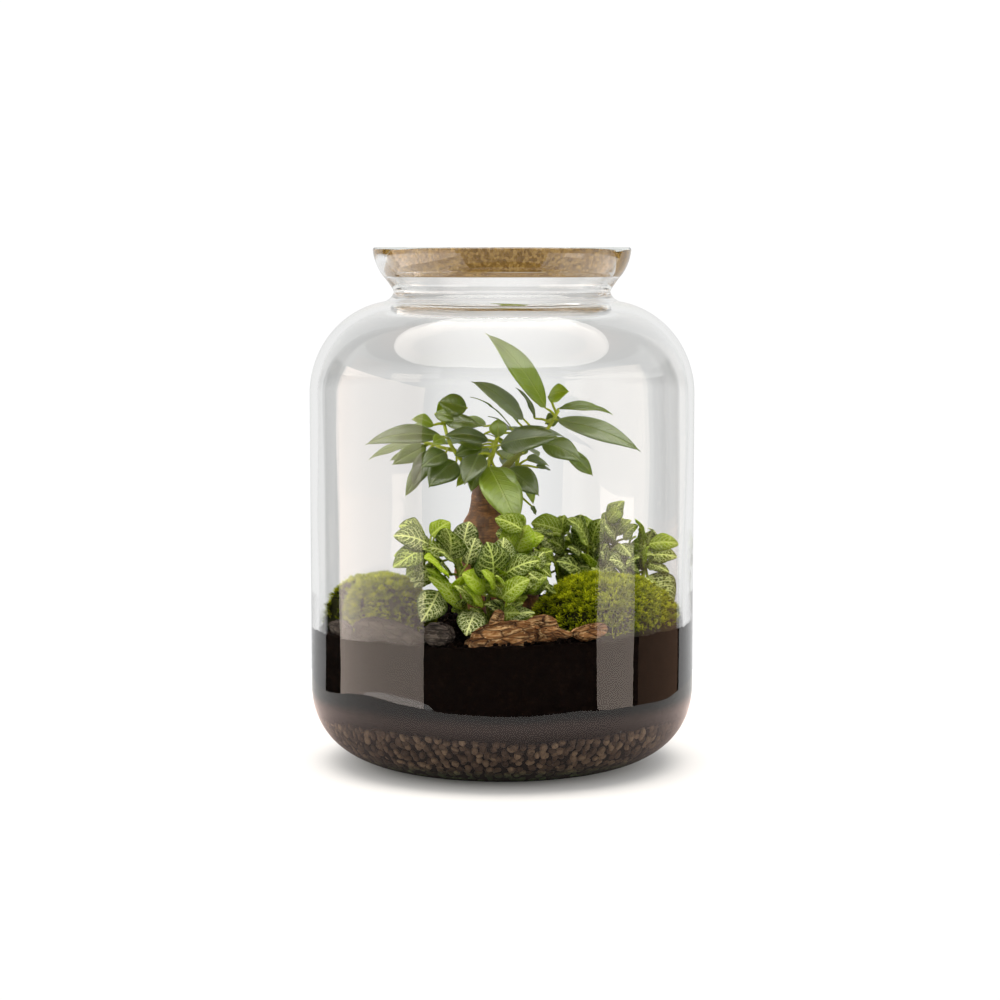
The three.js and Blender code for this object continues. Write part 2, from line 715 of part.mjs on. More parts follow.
// Each plant: the place of its root, its forks above the soil, and its leaves.
const NERVE_PLANTS = {
  front_left: {
    root: [-18, -72],
    forks: [
      [[-20, -72, 100], [-29, -69, 110], [-38, -65, 121], [-43, -61, 131]],
      [[-20, -72, 99], [-22, -73, 110], [-25, -67, 122]],
    ],
    leaves: [
      [-42, -64, 138, -61, -75, 145, 13, -42],
      [-45, -67, 137, -61, -83, 128, 11, -36],
      [-44, -58, 128, -57, -64, 129, 9, -36],
      [-41, -54, 142, -30, -49, 150, 10, 22],
      [-30, -64, 130, -31, -72, 149, 17, 0],
      [-22, -53, 137, -19, -48, 150, 12, 0],
      [-32, -75, 122, -43, -88, 134, 16, -14],
      [-23, -84, 104, -41, -87, 123, 8, -30],
      [-36, -78, 113, -45, -92, 98, 14, -30],
      [-20, -60, 126, -15, -54, 142, 12, 0],
      [-25, -80, 113, -21, -88, 124, 9, 0],
      [-40, -70, 124, -52, -77, 119, 9, -30],
    ],
  },
  front_centre: {
    root: [-7, -75],
    forks: [[[-8, -75, 106], [-6, -75, 116]]],
    leaves: [
      [-6, -80, 120, -8, -85, 142, 19, 0],
      [0, -71, 126, 1, -68, 143, 12, 0],
      [2, -78, 123, 20, -86, 132, 12, 40],
      [-9, -84, 115, -22, -91, 125, 12, -38],
      [-4, -87, 116, -11, -92, 127, 10, -14],
      [0, -86, 110, 15, -92, 122, 12, 32],
      [-11, -85, 105, -21, -92, 118, 8, -26],
      [2, -84, 104, 7, -89, 116, 8, 4],
    ],
  },
  front_right: {
    root: [4, -70],
    forks: [[[5, -71, 103], [7, -67, 114], [9, -60, 125], [9, -54, 131]]],
    leaves: [
      [12, -60, 146, -4, -58, 153, 10, -38],
      [9, -58, 133, 15, -56, 149, 14, 0],
      [6, -58, 136, 2, -56, 147, 9, -14],
      [13, -60, 138, 24, -60, 143, 8, 34],
      [15, -66, 123, 24, -63, 134, 11, 14],
      [15, -71, 123, 27, -76, 114, 6, 40],
      [10, -68, 112, 20, -76, 118, 9, 34],
    ],
  },
  front_low: {
    root: [-9, -84],
    forks: [[[-11, -84, 96], [-14, -82, 101]], [[-9.5, -84, 92], [-4, -84, 97]]],
    leaves: [
      [-15, -84, 102, -20, -98, 91, 13, -6],
      [0, -85, 98, 18, -92, 103, 8, 30],
    ],
  },
  back_left: {
    root: [40, 14],
    forks: [[[39, 12, 110], [37, 10, 124], [37, 10, 134]]],
    leaves: [
      [37, 7, 138, 18, -1, 144, 14, -40],
      [34, 2, 136, 15, -8, 139, 8, -10],
      [34, -1, 129, 20, -9, 137, 11, -42],
      [36, 14, 134, 38, 16, 147, 8, 0],
      [42, 5, 126, 39, 0, 134, 7, 0],
      [43, 5, 125, 49, 2, 131, 7, 14],
      [33, -3, 111, 28, -9, 126, 9, 0],
      [37, 0, 110, 36, -7, 124, 8, 0],
      [34, 16, 126, 20, 22, 134, 12, -30],
    ],
  },
  back_centre: {
    root: [54, 10],
    forks: [[[54, 8, 110], [52, 6, 124], [52, 5, 132]], [[54, 8, 109], [46, -4, 122]]],
    leaves: [
      [52, 2, 130, 40, -6, 147, 18, -12],
      [55, 5, 131, 60, 3, 146, 12, 8],
      [52, -6, 112, 33, -17, 123, 13, -40],
      [50, -3, 120, 40, -12, 131, 11, -24],
      [53, -8, 118, 48, -18, 128, 9, 0],
      [58, 4, 118, 63, -1, 131, 12, 24],
      [57, 0, 112, 68, -9, 119, 12, 34],
      [56, 13, 120, 60, 20, 134, 14, 0],
    ],
  },
  back_right: {
    root: [67, 18],
    forks: [[[68, 17, 110], [69, 14, 124], [68, 14, 131]]],
    leaves: [
      [65, 13, 141, 74, 12, 156, 14, 0],
      [69, 10, 132, 61, 4, 142, 9, -20],
      [74, 8, 133, 82, 4, 142, 9, 22],
      [72, 6, 130, 78, -3, 124, 9, 10],
      [69, 15, 134, 74, 18, 145, 9, 0],
      [76, 2, 115, 65, -10, 123, 14, -34],
      [64, 22, 127, 53, 29, 138, 12, -20],
      [73, 4, 113, 82, -6, 124, 13, 16],
    ],
  },
  right: {
    root: [85, 22],
    forks: [[[86, 18, 104], [87, 13, 117], [86, 12, 125]]],
    leaves: [
      [86, 8, 132, 81, 3, 146, 8, 20],
      [89, 7, 130, 107, 0, 131, 9, 38],
      [89, 12, 128, 92, 12, 138, 7, 10],
      [90, 5, 123, 105, -6, 124, 9, 38],
      [89, 2, 119, 100, -7, 115, 5, 30],
      [86, 4, 116, 88, -1, 130, 8, 10],
      [88, -2, 112, 102, -14, 97, 17, 28],
      [85, 15, 114, 80, 12, 124, 11, -20],
      [88, 18, 126, 94, 29, 134, 12, 0],
    ],
  },
};
const NERVE_STEM_RADIUS = 1.5;

function nervePlant({ root, forks, leaves }) {
  const [x, y] = root;
  const ground = soilHeight(x, y);
  const [main, ...others] = forks;
  const stems = [[[x, y, ground - PEG_DEPTH], [x, y, ground + 2], ...main], ...others].map((path, i) => ({
    points: path,
    from: i === 0 ? NERVE_STEM_RADIUS : 1.2,
    to: 1,
  }));
  return leafyStem("nerve", stems, leaves);
}

// ---------------------------------------------------------------- assembly

function soilWithHoles() {
  const holes = ROOTS.map(({ points, radii }) => {
    const [x, y] = points[points.length - 1];
    return peg(x, y, radii[3] * 0.94 + 2 * HOLE_GAP, SOIL_TOP - PEG_DEPTH - HOLE_GAP, SOIL_TOP + 30, 12);
  });
  for (const { root } of Object.values(NERVE_PLANTS)) {
    const bottom = soilHeight(...root) - PEG_DEPTH - HOLE_GAP;
    holes.push(peg(...root, NERVE_STEM_RADIUS + HOLE_GAP, bottom, SOIL_TOP + 30, 10));
  }
  return holes.reduce((soil, hole) => soil.subtract(hole), soilBody(0));
}

const terrarium = new THREE.Group();

function add(name, solid, color, roughness = 0.8, extra = {}) {
  const material = new THREE.MeshStandardMaterial({ color, roughness, metalness: 0, ...extra });
  const mesh = new THREE.Mesh(geometryOf(solid), material);
  mesh.name = name;
  terrarium.add(mesh);
}

add("glass_jar", jar(), COLOURS.glass, 0.03, { transparent: true, opacity: 0.25 });
add("cork_lid", corkLid(), COLOURS.cork, 0.85);
add("gravel_layer", gravelLayer(), COLOURS.gravel);
add("potting_soil", soilWithHoles(), COLOURS.soil, 0.95);

// The left cushion stops short of the long flake of bark that stands against the glass.
const wallReach = JAR_RADIUS - WALL - 1.2;
const leftReach = (x, y) => {
  if (y >= 0.25 * x) return wallReach;
  return x < -82 ? 99 : 95;
};
add(
  "moss_left",
  mossCushion({ x: -74, y: -42, halfWidth: 34, halfDepth: 44, height: 33.5, reach: leftReach, seed: 5 }),
  COLOURS.moss,
  0.95,
);
add(
  "moss_right",
  mossCushion({
    x: 62, y: -46, halfWidth: 46, halfDepth: 42, height: 29.5, reach: () => wallReach, seed: 9,
  }),
  COLOURS.moss,
  0.95,
);

const FLAKES = [
  { length: 46, width: 19, layers: [3, 2.4], seed: 3, place: [2, -100, 89], turn: [82, -6, 2] },
  { length: 56, width: 15, layers: [3, 2.4], seed: 8, place: [-62, -78, 89], turn: [84, 2, -41] },
  { length: 19, width: 16, layers: [4, 3], seed: 21, place: [-34, -94, 90], turn: [74, 0, -18] },
  { length: 24, width: 19, layers: [3], seed: 14, place: [21, -92.5, 92.5], turn: [72, -5, 12] },
  { length: 18.2, width: 6, layers: [2.4], seed: 31, place: [31, -99.2, 92], turn: [80, 10, 14] },
  { length: 24, width: 10, layers: [3, 2], seed: 17, place: [48.5, -91.5, 91.4], turn: [76, -4, 26] },
  { length: 26, width: 11, layers: [2.6, 2], seed: 52, place: [-91, -45, 86], turn: [80, 4, -63] },
  { length: 9, width: 22, layers: [2.6], seed: 40, place: [-4, -91.5, 95], turn: [76, 12, 6] },
];
const GREY_FLAKES = [2, 3, 7];
FLAKES.forEach((flake, i) => {
  const color = GREY_FLAKES.includes(i + 1) ? COLOURS.greyBark : COLOURS.bark;
  add("bark_" + (i + 1), barkFlake(flake), color, 0.9);
});

add("ficus_trunk", figTrunk(), COLOURS.trunk);
for (const name of Object.keys(SHOOTS)) {
  const shoot = leafyStem("fig", shootForks(name), SHOOTS[name].leaves);
  add("ficus_shoot_" + name, shoot, COLOURS.fig, 0.4);
}
for (const [name, plant] of Object.entries(NERVE_PLANTS)) {
  add("fittonia_" + name, nervePlant(plant), name === "front_right" ? COLOURS.young : COLOURS.nerve, 0.5);
}

export default terrarium;
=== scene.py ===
"""A closed glass terrarium: the fine pieces, materials, lights and camera over the frame of plain solids.

Lengths are in millimetres up to the point where a mesh is made, and +Z is up."""
import math

import bmesh
import bpy
import numpy as np
from mathutils import Euler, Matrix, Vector, noise


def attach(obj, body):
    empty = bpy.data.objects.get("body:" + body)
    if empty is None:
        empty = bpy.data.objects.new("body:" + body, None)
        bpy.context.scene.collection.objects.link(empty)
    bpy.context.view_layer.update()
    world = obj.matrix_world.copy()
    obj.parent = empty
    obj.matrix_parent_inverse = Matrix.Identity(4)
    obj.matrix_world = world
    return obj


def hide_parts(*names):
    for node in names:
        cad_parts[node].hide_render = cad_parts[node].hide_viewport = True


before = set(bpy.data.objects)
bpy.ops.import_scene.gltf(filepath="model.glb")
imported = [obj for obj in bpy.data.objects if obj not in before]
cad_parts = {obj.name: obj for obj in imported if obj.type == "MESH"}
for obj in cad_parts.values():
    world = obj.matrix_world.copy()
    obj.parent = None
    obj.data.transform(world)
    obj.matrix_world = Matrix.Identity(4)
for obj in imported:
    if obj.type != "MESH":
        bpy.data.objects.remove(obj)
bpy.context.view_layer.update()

MM = 0.001
AXIS_RADIUS = 0.05

# Jar, as the solids have it.
JAR_RADIUS = 115
JAR_HEIGHT = 309
WALL = 4.2
BASE = 8
FOOT_RADIUS = 60
FOOT_RING_WIDTH = 10
PUSH_UP = 1.6
CORNER_HEIGHT = 47
CORNER_POWER = 2.2
CORNER_EASE = 2 / CORNER_POWER
WALL_HEIGHTS = (48, 52, 60, 76, 96, 120, 150, 180, 204, 216, 221)
SHOULDER_START = 222
SHOULDER_RISE = 55.5
SHOULDER_RUN = 53
SHOULDER_TURN = 1.42
INNER_SHOULDER_TURN = 1.4
NECK_RADIUS = 64.6
NECK_HEIGHT = 282.6
NECK_WALL = 4
NECK_CURVE = (0.8, -3.6)
FLARE_RADIUS = 72
FLARE_HEIGHT = 293.2
FLARE_CURVE = (1.9, 4.2)
INNER_FLARE_CURVE = (2.2, 4.4)
RIM_RADIUS = 77
LIP_CURVE = (76.2, 299.5)
LIP_DROP = 1.8
LIP_ROUND = 2
SEAT_GAP = 0.35
SEAT_DROP = 0.6
SEAT_ROUND = (2.2, 0.2)
JAR_SEGMENTS = 300
CURVE_STEPS = 28

CORK_TOP_RADIUS = 73.3
CORK_BOTTOM_RADIUS = 68.7
CORK_BOTTOM = 295.4
CORK_TOP = 308.3
CORK_CHAMFER = 0.9
CORK_SEGMENTS = 240
CORK_RINGS = {"side": 18, "top": 52, "bottom": 24}
CORK_PITS = ((0.55, 2.3, 4, 0.25), (0.12, 0.9, 9, 0))
CORK_SIDE_PITS = 1.6

# Fill, as the solids have it, with finer edges. Layers of lumps are height, size of a bump and seed.
# Layers of hollows are depth, size, seed and how rare they are.
GRAVEL_TOP = 31.5
GRAVEL_WAVE = 2.2
GRAVEL_FALL = 1.4
SOIL_TOP = 84.5
SOIL_TILT = 2.6
SOIL_MOUND = 3.2
SOIL_RIPPLE = 0.9
SOIL_RAGGED = ((1.1, 7, 3), (0.6, 2.2, 5))
SOIL_LUMPS = ((1.3, 6, 31), (0.7, 2.6, 32))
SOIL_HOLLOWS = ((1.5, 3.2, 21, 0), (0.5, 1.4, 22, 0))
SOIL_FOOT_WAVE = (3.4, 3.1, 41)
FILL_GAP = 0.25
SHORE_ROUNDS = 5

# Grains of the gravel and crumbs of the soil.
GRAIN_ROWS = 8
GRAIN_SPACING = 5.2
GRAIN_INSETS = (0, 4.2)
GRAIN_HALF_SIZES = ((2.1, 3.1), (1.8, 2.5), (1.5, 2.2))
GRAIN_JITTER = 0.28
GRAIN_FLOOR = 2.4
GRAIN_HEADROOM = 2.6
GRAIN_RISE = 1.1
GRAIN_PRESS = 0.2
GRAIN_SLACK = 0.7
GRAIN_ROUGH = 0.06
CRUMB_ROUGH = 0.3
CORE_INSET = 4.5
CORE_SEGMENTS = 64
SOIL_SIDE_RINGS = 34
SOIL_TOP_RINGS = 56
CRUMBS = 2600

# Moss.
MOSS_SEGMENTS = 90
MOSS_RINGS = 30
MOSS_EDGE_STEP = 0.25
MOSS_SKIRT = 2.2
MOSS_SUNK = 1.6
TUFTS_PER_SQUARE = 1.6
SHOOTS_PER_TUFT = 9
SHOOT_SPREAD = 0.5
SHOOT_LENGTH = (2.0, 5.2)
SHOOT_WIDTH = (0.2, 0.38)
SHOOT_WAIST = 0.45
SHOOT_FACES = [(0, 2, 1), (0, 3, 2), (0, 1, 3), (4, 1, 2), (4, 2, 3), (4, 3, 1)]

# Foliage.
BLADE_THICKNESS = 0.5
LEAF_UP = (0, -0.35, 1)
PETIOLE_RADIUS = 0.85
STUB_RADIUS = 2.6
STUB_END_RADIUS = 1.9
STUB_FLARE = 1.35
TRUNK_VOXEL = 0.9
TRUNK_WAIST = 146
NERVE_STEM_RADIUS = 1.5
NERVE_FORK_RADIUS = 1.2
NERVE_INNER_LEAVES = 22
FIG_INNER_LEAVES = 4


def vec(*values):
    """A vector of floats."""
    return np.array(values, float)


def unit(vector):
    """The same direction with length 1."""
    return vector / np.linalg.norm(vector)


def wobble(points, size, seed):
    """Smooth noise from -1 to 1 at each point, with bumps of about this size."""
    shift = Vector((seed * 13.1, seed * 7.7, seed * 3.3))
    return np.array([noise.noise(Vector(p) / size + shift) for p in points])


def lumps(points, *layers):
    """Smooth noise in layers, each with its height, the size of its bumps and its seed."""
    return sum(height * wobble(points, size, seed) for height, size, seed in layers)


def hollows(points, layers):
    """How deep hollows are at each point, from layers of depth, size, seed and how rare they are."""
    return sum(np.clip(wobble(points, size, seed) - rare, 0, 1) * depth for depth, size, seed, rare in layers)


def turns(count):
    """Angles spread evenly round a circle."""
    return 2 * np.pi * np.arange(count) / count


def polar(radius, turn):
    """x and y at a radius and an angle."""
    return radius * np.cos(turn), radius * np.sin(turn)


# ------------------------------------------------------------ meshes


def mark(mesh, label, values, kind="FLOAT_VECTOR"):
    """Stores one value for each point of a mesh, for its material to read."""
    layer = mesh.attributes.new(label, kind, "POINT")
    field = "color" if kind == "FLOAT_COLOR" else "vector"
    layer.data.foreach_set(field, np.asarray(values).astype(np.float32).ravel())


class Build:
    """The points and faces of one piece, gathered part by part, with what its materials read."""

    def __init__(self):
        self.points, self.faces, self.slots, self.place, self.span, self.facts = [], [], [], [], [], []
        self.count = 0

    def add(self, points, faces, slot=0, place=None, span=None, facts=(0, 0, 0, 1)):
        total = len(points)
        self.points.append(points)
        self.faces.extend([tuple(i + self.count for i in face) for face in faces])
        self.slots.extend([slot] * len(faces))
        self.place.append(np.zeros((total, 3)) if place is None else place)
        self.span.append(points if span is None else span)
        self.facts.append(np.broadcast_to(np.asarray(facts, float), (total, 4)))
        self.count += total

    def piece(self, name, materials, slot, nodes, sharp=180.0):
        mesh = bpy.data.meshes.new(name)
        mesh.from_pydata((np.vstack(self.points) * MM).tolist(), [], self.faces)
        mark(mesh, "place", np.vstack(self.place))
        mark(mesh, "span", np.vstack(self.span))
        mark(mesh, "facts", np.vstack(self.facts), "FLOAT_COLOR")
        mesh.polygons.foreach_set("material_index", self.slots)
        mesh.polygons.foreach_set("use_smooth", [True] * len(self.faces))
        dress(name, mesh, materials, nodes, sharp)


def dress(name, mesh, materials, nodes, sharp=180.0):
    """Makes a finished mesh a piece of the terrarium."""
    shape = bmesh.new()
    shape.from_mesh(mesh)
    bmesh.ops.recalc_face_normals(shape, faces=shape.faces)
    shape.to_mesh(mesh)
    shape.free()
    if sharp < 180:
        mesh.set_sharp_from_angle(angle=math.radians(sharp))
    for material in materials:
        mesh.materials.append(material)
    made = bpy.data.objects.new(name, mesh)
    bpy.context.scene.collection.objects.link(made)
    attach(made, "root")
    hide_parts(*nodes)


def loft(rings):
    """A closed solid through rings with equal counts. Its two ends are closed by a point each."""
    count, total = len(rings[0]), len(rings)
    points = np.vstack([*rings, rings[0].mean(0), rings[-1].mean(0)])
    faces = []
    for k in range(total - 1):
        for i in range(count):
            j = (i + 1) % count
            faces.append((k * count + i, k * count + j, (k + 1) * count + j, (k + 1) * count + i))
    start, end, last = total * count, total * count + 1, (total - 1) * count
    for i in range(count):
        j = (i + 1) % count
        faces.append((start, j, i))
        faces.append((end, last + i, last + j))
    return points, faces


def circle(radius, height, count):
    """A level ring about the jar's axis. The radius may differ from point to point."""
    x, y = polar(np.broadcast_to(radius, count), turns(count))
    return np.column_stack([x, y, np.broadcast_to(height, count)])


def lathe(profile, count):
    """A closed solid turned about the jar's axis, from a profile that starts and ends near the axis."""
    return loft([circle(max(radius, AXIS_RADIUS), height, count) for radius, height in profile])


def smooth_path(points, steps):
    """A Catmull-Rom curve through points."""
    points = [vec(*p) for p in points]
    ends = [2 * points[0] - points[1], *points, 2 * points[-1] - points[-2]]
    path = []
    for a, b, c, d in zip(ends, ends[1:], ends[2:], ends[3:]):
        for t in np.arange(steps) / steps:
            even = 2 * b + (c - a) * t
            curve = (2 * a - 5 * b + 4 * c - d) * t**2 + (3 * b - a - 3 * c + d) * t**3
            path.append(0.5 * (even + curve))
    return [*path, points[-1]]


def tube(path, radii, sides=8):
    """A tube along a path, with one radius for each of its points."""
    rings = []
    turn = turns(sides)
    across = None
    for i, p in enumerate(path):
        along = unit(path[min(i + 1, len(path) - 1)] - path[max(i - 1, 0)])
        side = vec(1, 0, 0) if across is None else across
        if across is None and abs(along[0]) > 0.9:
            side = vec(0, 1, 0)
        across = unit(side - along * (side @ along))
        upright = np.cross(along, across)
        rings.append(p + radii[i] * (np.cos(turn)[:, None] * across + np.sin(turn)[:, None] * upright))
    return loft(rings)


def shift_points(points, distance):
    """Moves points straight away from the jar's axis."""
    flat = points * vec(1, 1, 0)
    return points + flat / np.linalg.norm(flat, axis=1, keepdims=True) * np.reshape(distance, (-1, 1))


def ball(subdivisions):
    """Points and faces of a round ball of radius 1."""
    shape = bmesh.new()
    bmesh.ops.create_icosphere(shape, subdivisions=subdivisions, radius=1)
    points = np.array([v.co[:] for v in shape.verts])
    faces = [tuple(v.index for v in f.verts) for f in shape.faces]
    shape.free()
    return points, faces


def scatter(build, centres, sizes, rough, rng, subdivisions=2):
    """Adds a rounded, uneven grain at each centre, with three half-sizes each."""
    points, faces = ball(subdivisions)
    for centre, size in zip(centres, sizes):
        turn = Euler(rng.uniform(0, 2 * np.pi, 3)).to_matrix()
        uneven = 1 + rough * rng.uniform(-1, 1, (len(points), 1))
        grain = (points * uneven * size) @ np.array(turn).T + centre
        build.add(grain, faces, place=points, facts=(rng.random(), rng.random(), rng.random(), 1))


# ------------------------------------------------------------ jar and lid


def bend(start, control, end, steps):
    """Points on a quadratic curve, without its first one."""
    t = np.linspace(0, 1, steps + 1)[1:, None]
    return [*((1 - t) ** 2 * vec(*start) + 2 * t * (1 - t) * vec(*control) + t**2 * vec(*end))]


def corner(wall_radius, bottom):
    """The rounded lower corner of the jar: a quarter of a superellipse from the foot to the wall."""
    turn = np.linspace(0, np.pi / 2, CURVE_STEPS + 1)
    radius = FOOT_RADIUS + (wall_radius - FOOT_RADIUS) * np.sin(turn) ** CORNER_EASE
    height = CORNER_HEIGHT - (CORNER_HEIGHT - bottom) * np.maximum(np.cos(turn), 0) ** CORNER_EASE
    return [*np.column_stack([radius, height])]


def shoulder(offset, last_turn):
    """The jar's rounded shoulder, or a wall's thickness inside it."""
    turn = np.linspace(0, last_turn, CURVE_STEPS + 1)
    radius = JAR_RADIUS - SHOULDER_RUN + (SHOULDER_RUN - offset) * np.cos(turn)
    return [*np.column_stack([radius, SHOULDER_START + (SHOULDER_RISE - offset) * np.sin(turn)])]


def cork_radius(height):
    """The radius of the tapered lid at a height."""
    share = (height - CORK_BOTTOM) / (CORK_TOP - CORK_BOTTOM)
    return CORK_BOTTOM_RADIUS + share * (CORK_TOP_RADIUS - CORK_BOTTOM_RADIUS)


def soil_edge():
    """The ragged line where the soil meets the glass."""
    edge = shore(soil_height, JAR_SEGMENTS)
    edge[:, 2] += lumps(edge, *SOIL_RAGGED)
    return edge


def jar_profile():
    """The dry part of the jar's section, from its push-up round the rim to the inside of the wall.

    The second result says how many of its points are on the inner side."""
    outer_shoulder, inner_shoulder = shoulder(0, SHOULDER_TURN), shoulder(WALL, INNER_SHOULDER_TURN)
    ring_inside = FOOT_RADIUS - FOOT_RING_WIDTH
    neck = vec(NECK_RADIUS, NECK_HEIGHT)
    throat = vec(NECK_RADIUS - NECK_WALL, NECK_HEIGHT)
    flare = vec(FLARE_RADIUS, FLARE_HEIGHT)
    lip = vec(RIM_RADIUS, JAR_HEIGHT - LIP_DROP)
    seat_top = vec(cork_radius(CORK_TOP) + SEAT_GAP, CORK_TOP - SEAT_DROP)
    seat_bottom = vec(cork_radius(FLARE_HEIGHT) + SEAT_GAP, FLARE_HEIGHT)
    rim, seat_rim = [(seat_top[0] + out, JAR_HEIGHT) for out in SEAT_ROUND]
    inner = [
        seat_bottom,
        *bend(seat_bottom, throat + INNER_FLARE_CURVE, throat, 12),
        *bend(throat, throat + NECK_CURVE, inner_shoulder[-1], 8),
        *inner_shoulder[::-1],
    ]
    outer = [
        vec(0, PUSH_UP),
        vec(ring_inside * 0.6, PUSH_UP * 0.8),
        vec(ring_inside - 3, PUSH_UP * 0.2),
        vec(ring_inside, 0),
        *corner(JAR_RADIUS, 0),
        *[vec(JAR_RADIUS, height) for height in WALL_HEIGHTS],
        *outer_shoulder,
        *bend(outer_shoulder[-1], neck + NECK_CURVE, neck, 8),
        *bend(neck, neck + FLARE_CURVE, flare, 12),
        *bend(flare, LIP_CURVE, lip, 6),
        *bend(lip, (RIM_RADIUS, JAR_HEIGHT), (RIM_RADIUS - LIP_ROUND, JAR_HEIGHT), 6),
        *bend(rim, seat_rim, seat_top, 5),
    ]
    return [*outer, *inner], len(inner)


def glass_jar(materials):
    """The blown jar, with a push-up under its base, a waisted neck and a rounded flared rim.

    Its inner surface has the second material. The damp fill lies against the glass below its own
    edge, and there the inner surface has the third one."""
    profile, inner_count = jar_profile()
    edge = soil_edge()
    dry = [circle(radius, height, JAR_SEGMENTS) for radius, height in profile]
    dry[0] = circle(AXIS_RADIUS, PUSH_UP, JAR_SEGMENTS)
    top = dry[-1]
    dry += [top + (edge - top) * share for share in (0.02, 0.1, 0.3, 0.6, 0.9)]
    low = circle(JAR_RADIUS - WALL, CORNER_HEIGHT, JAR_SEGMENTS)
    wet = [edge + (low - edge) * share for share in (0, 0.1, 0.3, 0.6, 0.9, 0.98)]
    wet += [circle(radius, height, JAR_SEGMENTS) for radius, height in corner(JAR_RADIUS - WALL, BASE)[::-1]]
    wet.append(circle(AXIS_RADIUS, BASE, JAR_SEGMENTS))
    build = Build()
    build.add(*loft([*dry, *wet]))
    inside = (len(profile) - inner_count) * JAR_SEGMENTS
    fill = len(dry) * JAR_SEGMENTS
    end = (len(dry) + len(wet)) * JAR_SEGMENTS
    for k, face in enumerate(build.faces):
        if min(face) >= inside and max(face) < end:
            build.slots[k] = 2 if min(face) >= fill else 1
    build.piece("jar", materials, "glass", ["glass_jar"], sharp=55)


def cork_lid(material):
    """The tapered plug, with small pits where grains fell out of its cut faces."""
    low, high = CORK_BOTTOM, CORK_TOP
    heights = np.linspace(low + CORK_CHAMFER, high - CORK_CHAMFER, CORK_RINGS["side"])
    side = [vec(cork_radius(height), height) for height in heights]
    top = [vec(r, high) for r in np.linspace(CORK_TOP_RADIUS - CORK_CHAMFER, 0, CORK_RINGS["top"])]
    bottom = [vec(r, low) for r in np.linspace(0, CORK_BOTTOM_RADIUS - CORK_CHAMFER, CORK_RINGS["bottom"])]
    points, faces = lathe([*bottom, *side, *top], CORK_SEGMENTS)
    pits = hollows(points, CORK_PITS)
    inward = points * vec(1, 1, 0)
    upper = points[:, 2] > high - 0.2
    points = points - inward / JAR_RADIUS * np.where(upper, 0, pits)[:, None] * CORK_SIDE_PITS
    points[:, 2] -= np.where(upper, pits, 0)
    build = Build()
    build.add(points, faces)
    build.piece("cork", [material], "cork", ["cork_lid"], sharp=60)


# ------------------------------------------------------------ gravel and soil


def wall_inside(height):
    """The radius at a height of what clings to the inside of the jar."""
    share = np.clip((CORNER_HEIGHT - height) / (CORNER_HEIGHT - BASE), 0, 1) ** (1 / CORNER_EASE)
    return FOOT_RADIUS + (JAR_RADIUS - WALL - FOOT_RADIUS) * (1 - share**2) ** (CORNER_EASE / 2) - FILL_GAP


def gravel_height(x, y):
    """The top of the gravel, lower at the back."""
    wave = GRAVEL_WAVE * np.sin(x / 26 + 1.1) * np.cos(y / 31 - 0.5)
    return GRAVEL_TOP + wave - GRAVEL_FALL * y / JAR_RADIUS


def soil_height(x, y):
    """The top of the soil: a low tilted mound with ripples."""
    ripple = SOIL_RIPPLE * np.sin(x / 13 + 0.7) * np.cos(y / 15 - 0.4)
    mound = SOIL_MOUND * (1 - (x * x + y * y) / JAR_RADIUS**2)
    return SOIL_TOP + SOIL_TILT * (x - 0.4 * y) / JAR_RADIUS + mound + ripple


def shore(surface, count):
    """The ring where a wavy surface meets the glass."""
    radius = np.full(count, float(JAR_RADIUS - WALL))
    for _ in range(SHORE_ROUNDS):
        height = surface(*polar(radius, turns(count)))
        radius = wall_inside(height)
    return circle(radius, height, count)


def on_surface(radius, surface, count, raised=0):
    """A ring of this radius that lies on a wavy surface."""
    ring = circle(radius, 0, count)
    ring[:, 2] = surface(ring[:, 0], ring[:, 1]) + raised
    return ring


def gravel_core():
    """The rings of the plain core behind the grains."""
    edge = shore(gravel_height, CORE_SEGMENTS)
    rings = [shift_points(edge, -CORE_INSET) - vec(0, 0, 2)]
    for share in (0.66, 0.33):
        height = BASE + 2 + (edge[:, 2] - BASE) * share
        rings.insert(0, circle(wall_inside(height) - CORE_INSET, height, CORE_SEGMENTS))
    floor = circle(FOOT_RADIUS - 4, BASE + 1, CORE_SEGMENTS)
    narrow = vec(0.5, 0.5, 1)
    return [floor * narrow, floor, *rings, rings[-1] * narrow]


def gravel(grain_material, core_material):
    """Rounded drainage grains packed against the glass, round a core that fills the middle."""
    rng = np.random.default_rng(11)
    build = Build()
    build.add(*loft(gravel_core()), 1)
    centres, sizes = [], []
    reach = JAR_RADIUS - 20
    for layer, inset in enumerate(GRAIN_INSETS):
        for row in range(GRAIN_ROWS):
            share = (row + 0.5) / GRAIN_ROWS
            around = int(2 * np.pi * (FOOT_RADIUS + 40 * share**0.5) / GRAIN_SPACING)
            for k in range(around):
                turn = 2 * np.pi * (k + 0.5 * (row % 2) + rng.uniform(-GRAIN_JITTER, GRAIN_JITTER)) / around
                room = gravel_height(*polar(reach, turn)) - BASE - GRAIN_HEADROOM
                height = BASE + GRAIN_FLOOR + room * share + rng.uniform(-GRAIN_RISE, GRAIN_RISE)
                size = vec(*[rng.uniform(*ends) for ends in GRAIN_HALF_SIZES])
                wall = wall_inside(height - 1.2) - size.mean() + GRAIN_PRESS
                centres.append(vec(*polar(wall - inset - rng.uniform(0, GRAIN_SLACK), turn), height))
                sizes.append(size * (1 - 0.06 * layer))
    scatter(build, centres, sizes, GRAIN_ROUGH, rng)
    for points in build.points[1:]:
        clear = wall_inside(points[:, 2])
        radius = np.hypot(points[:, 0], points[:, 1])
        points[:, :2] *= np.minimum(1, clear / radius)[:, None]
        points[:, 2] = np.maximum(points[:, 2], BASE + FILL_GAP)
    build.piece("gravel", [grain_material, core_material], "gravel", ["gravel_layer"])


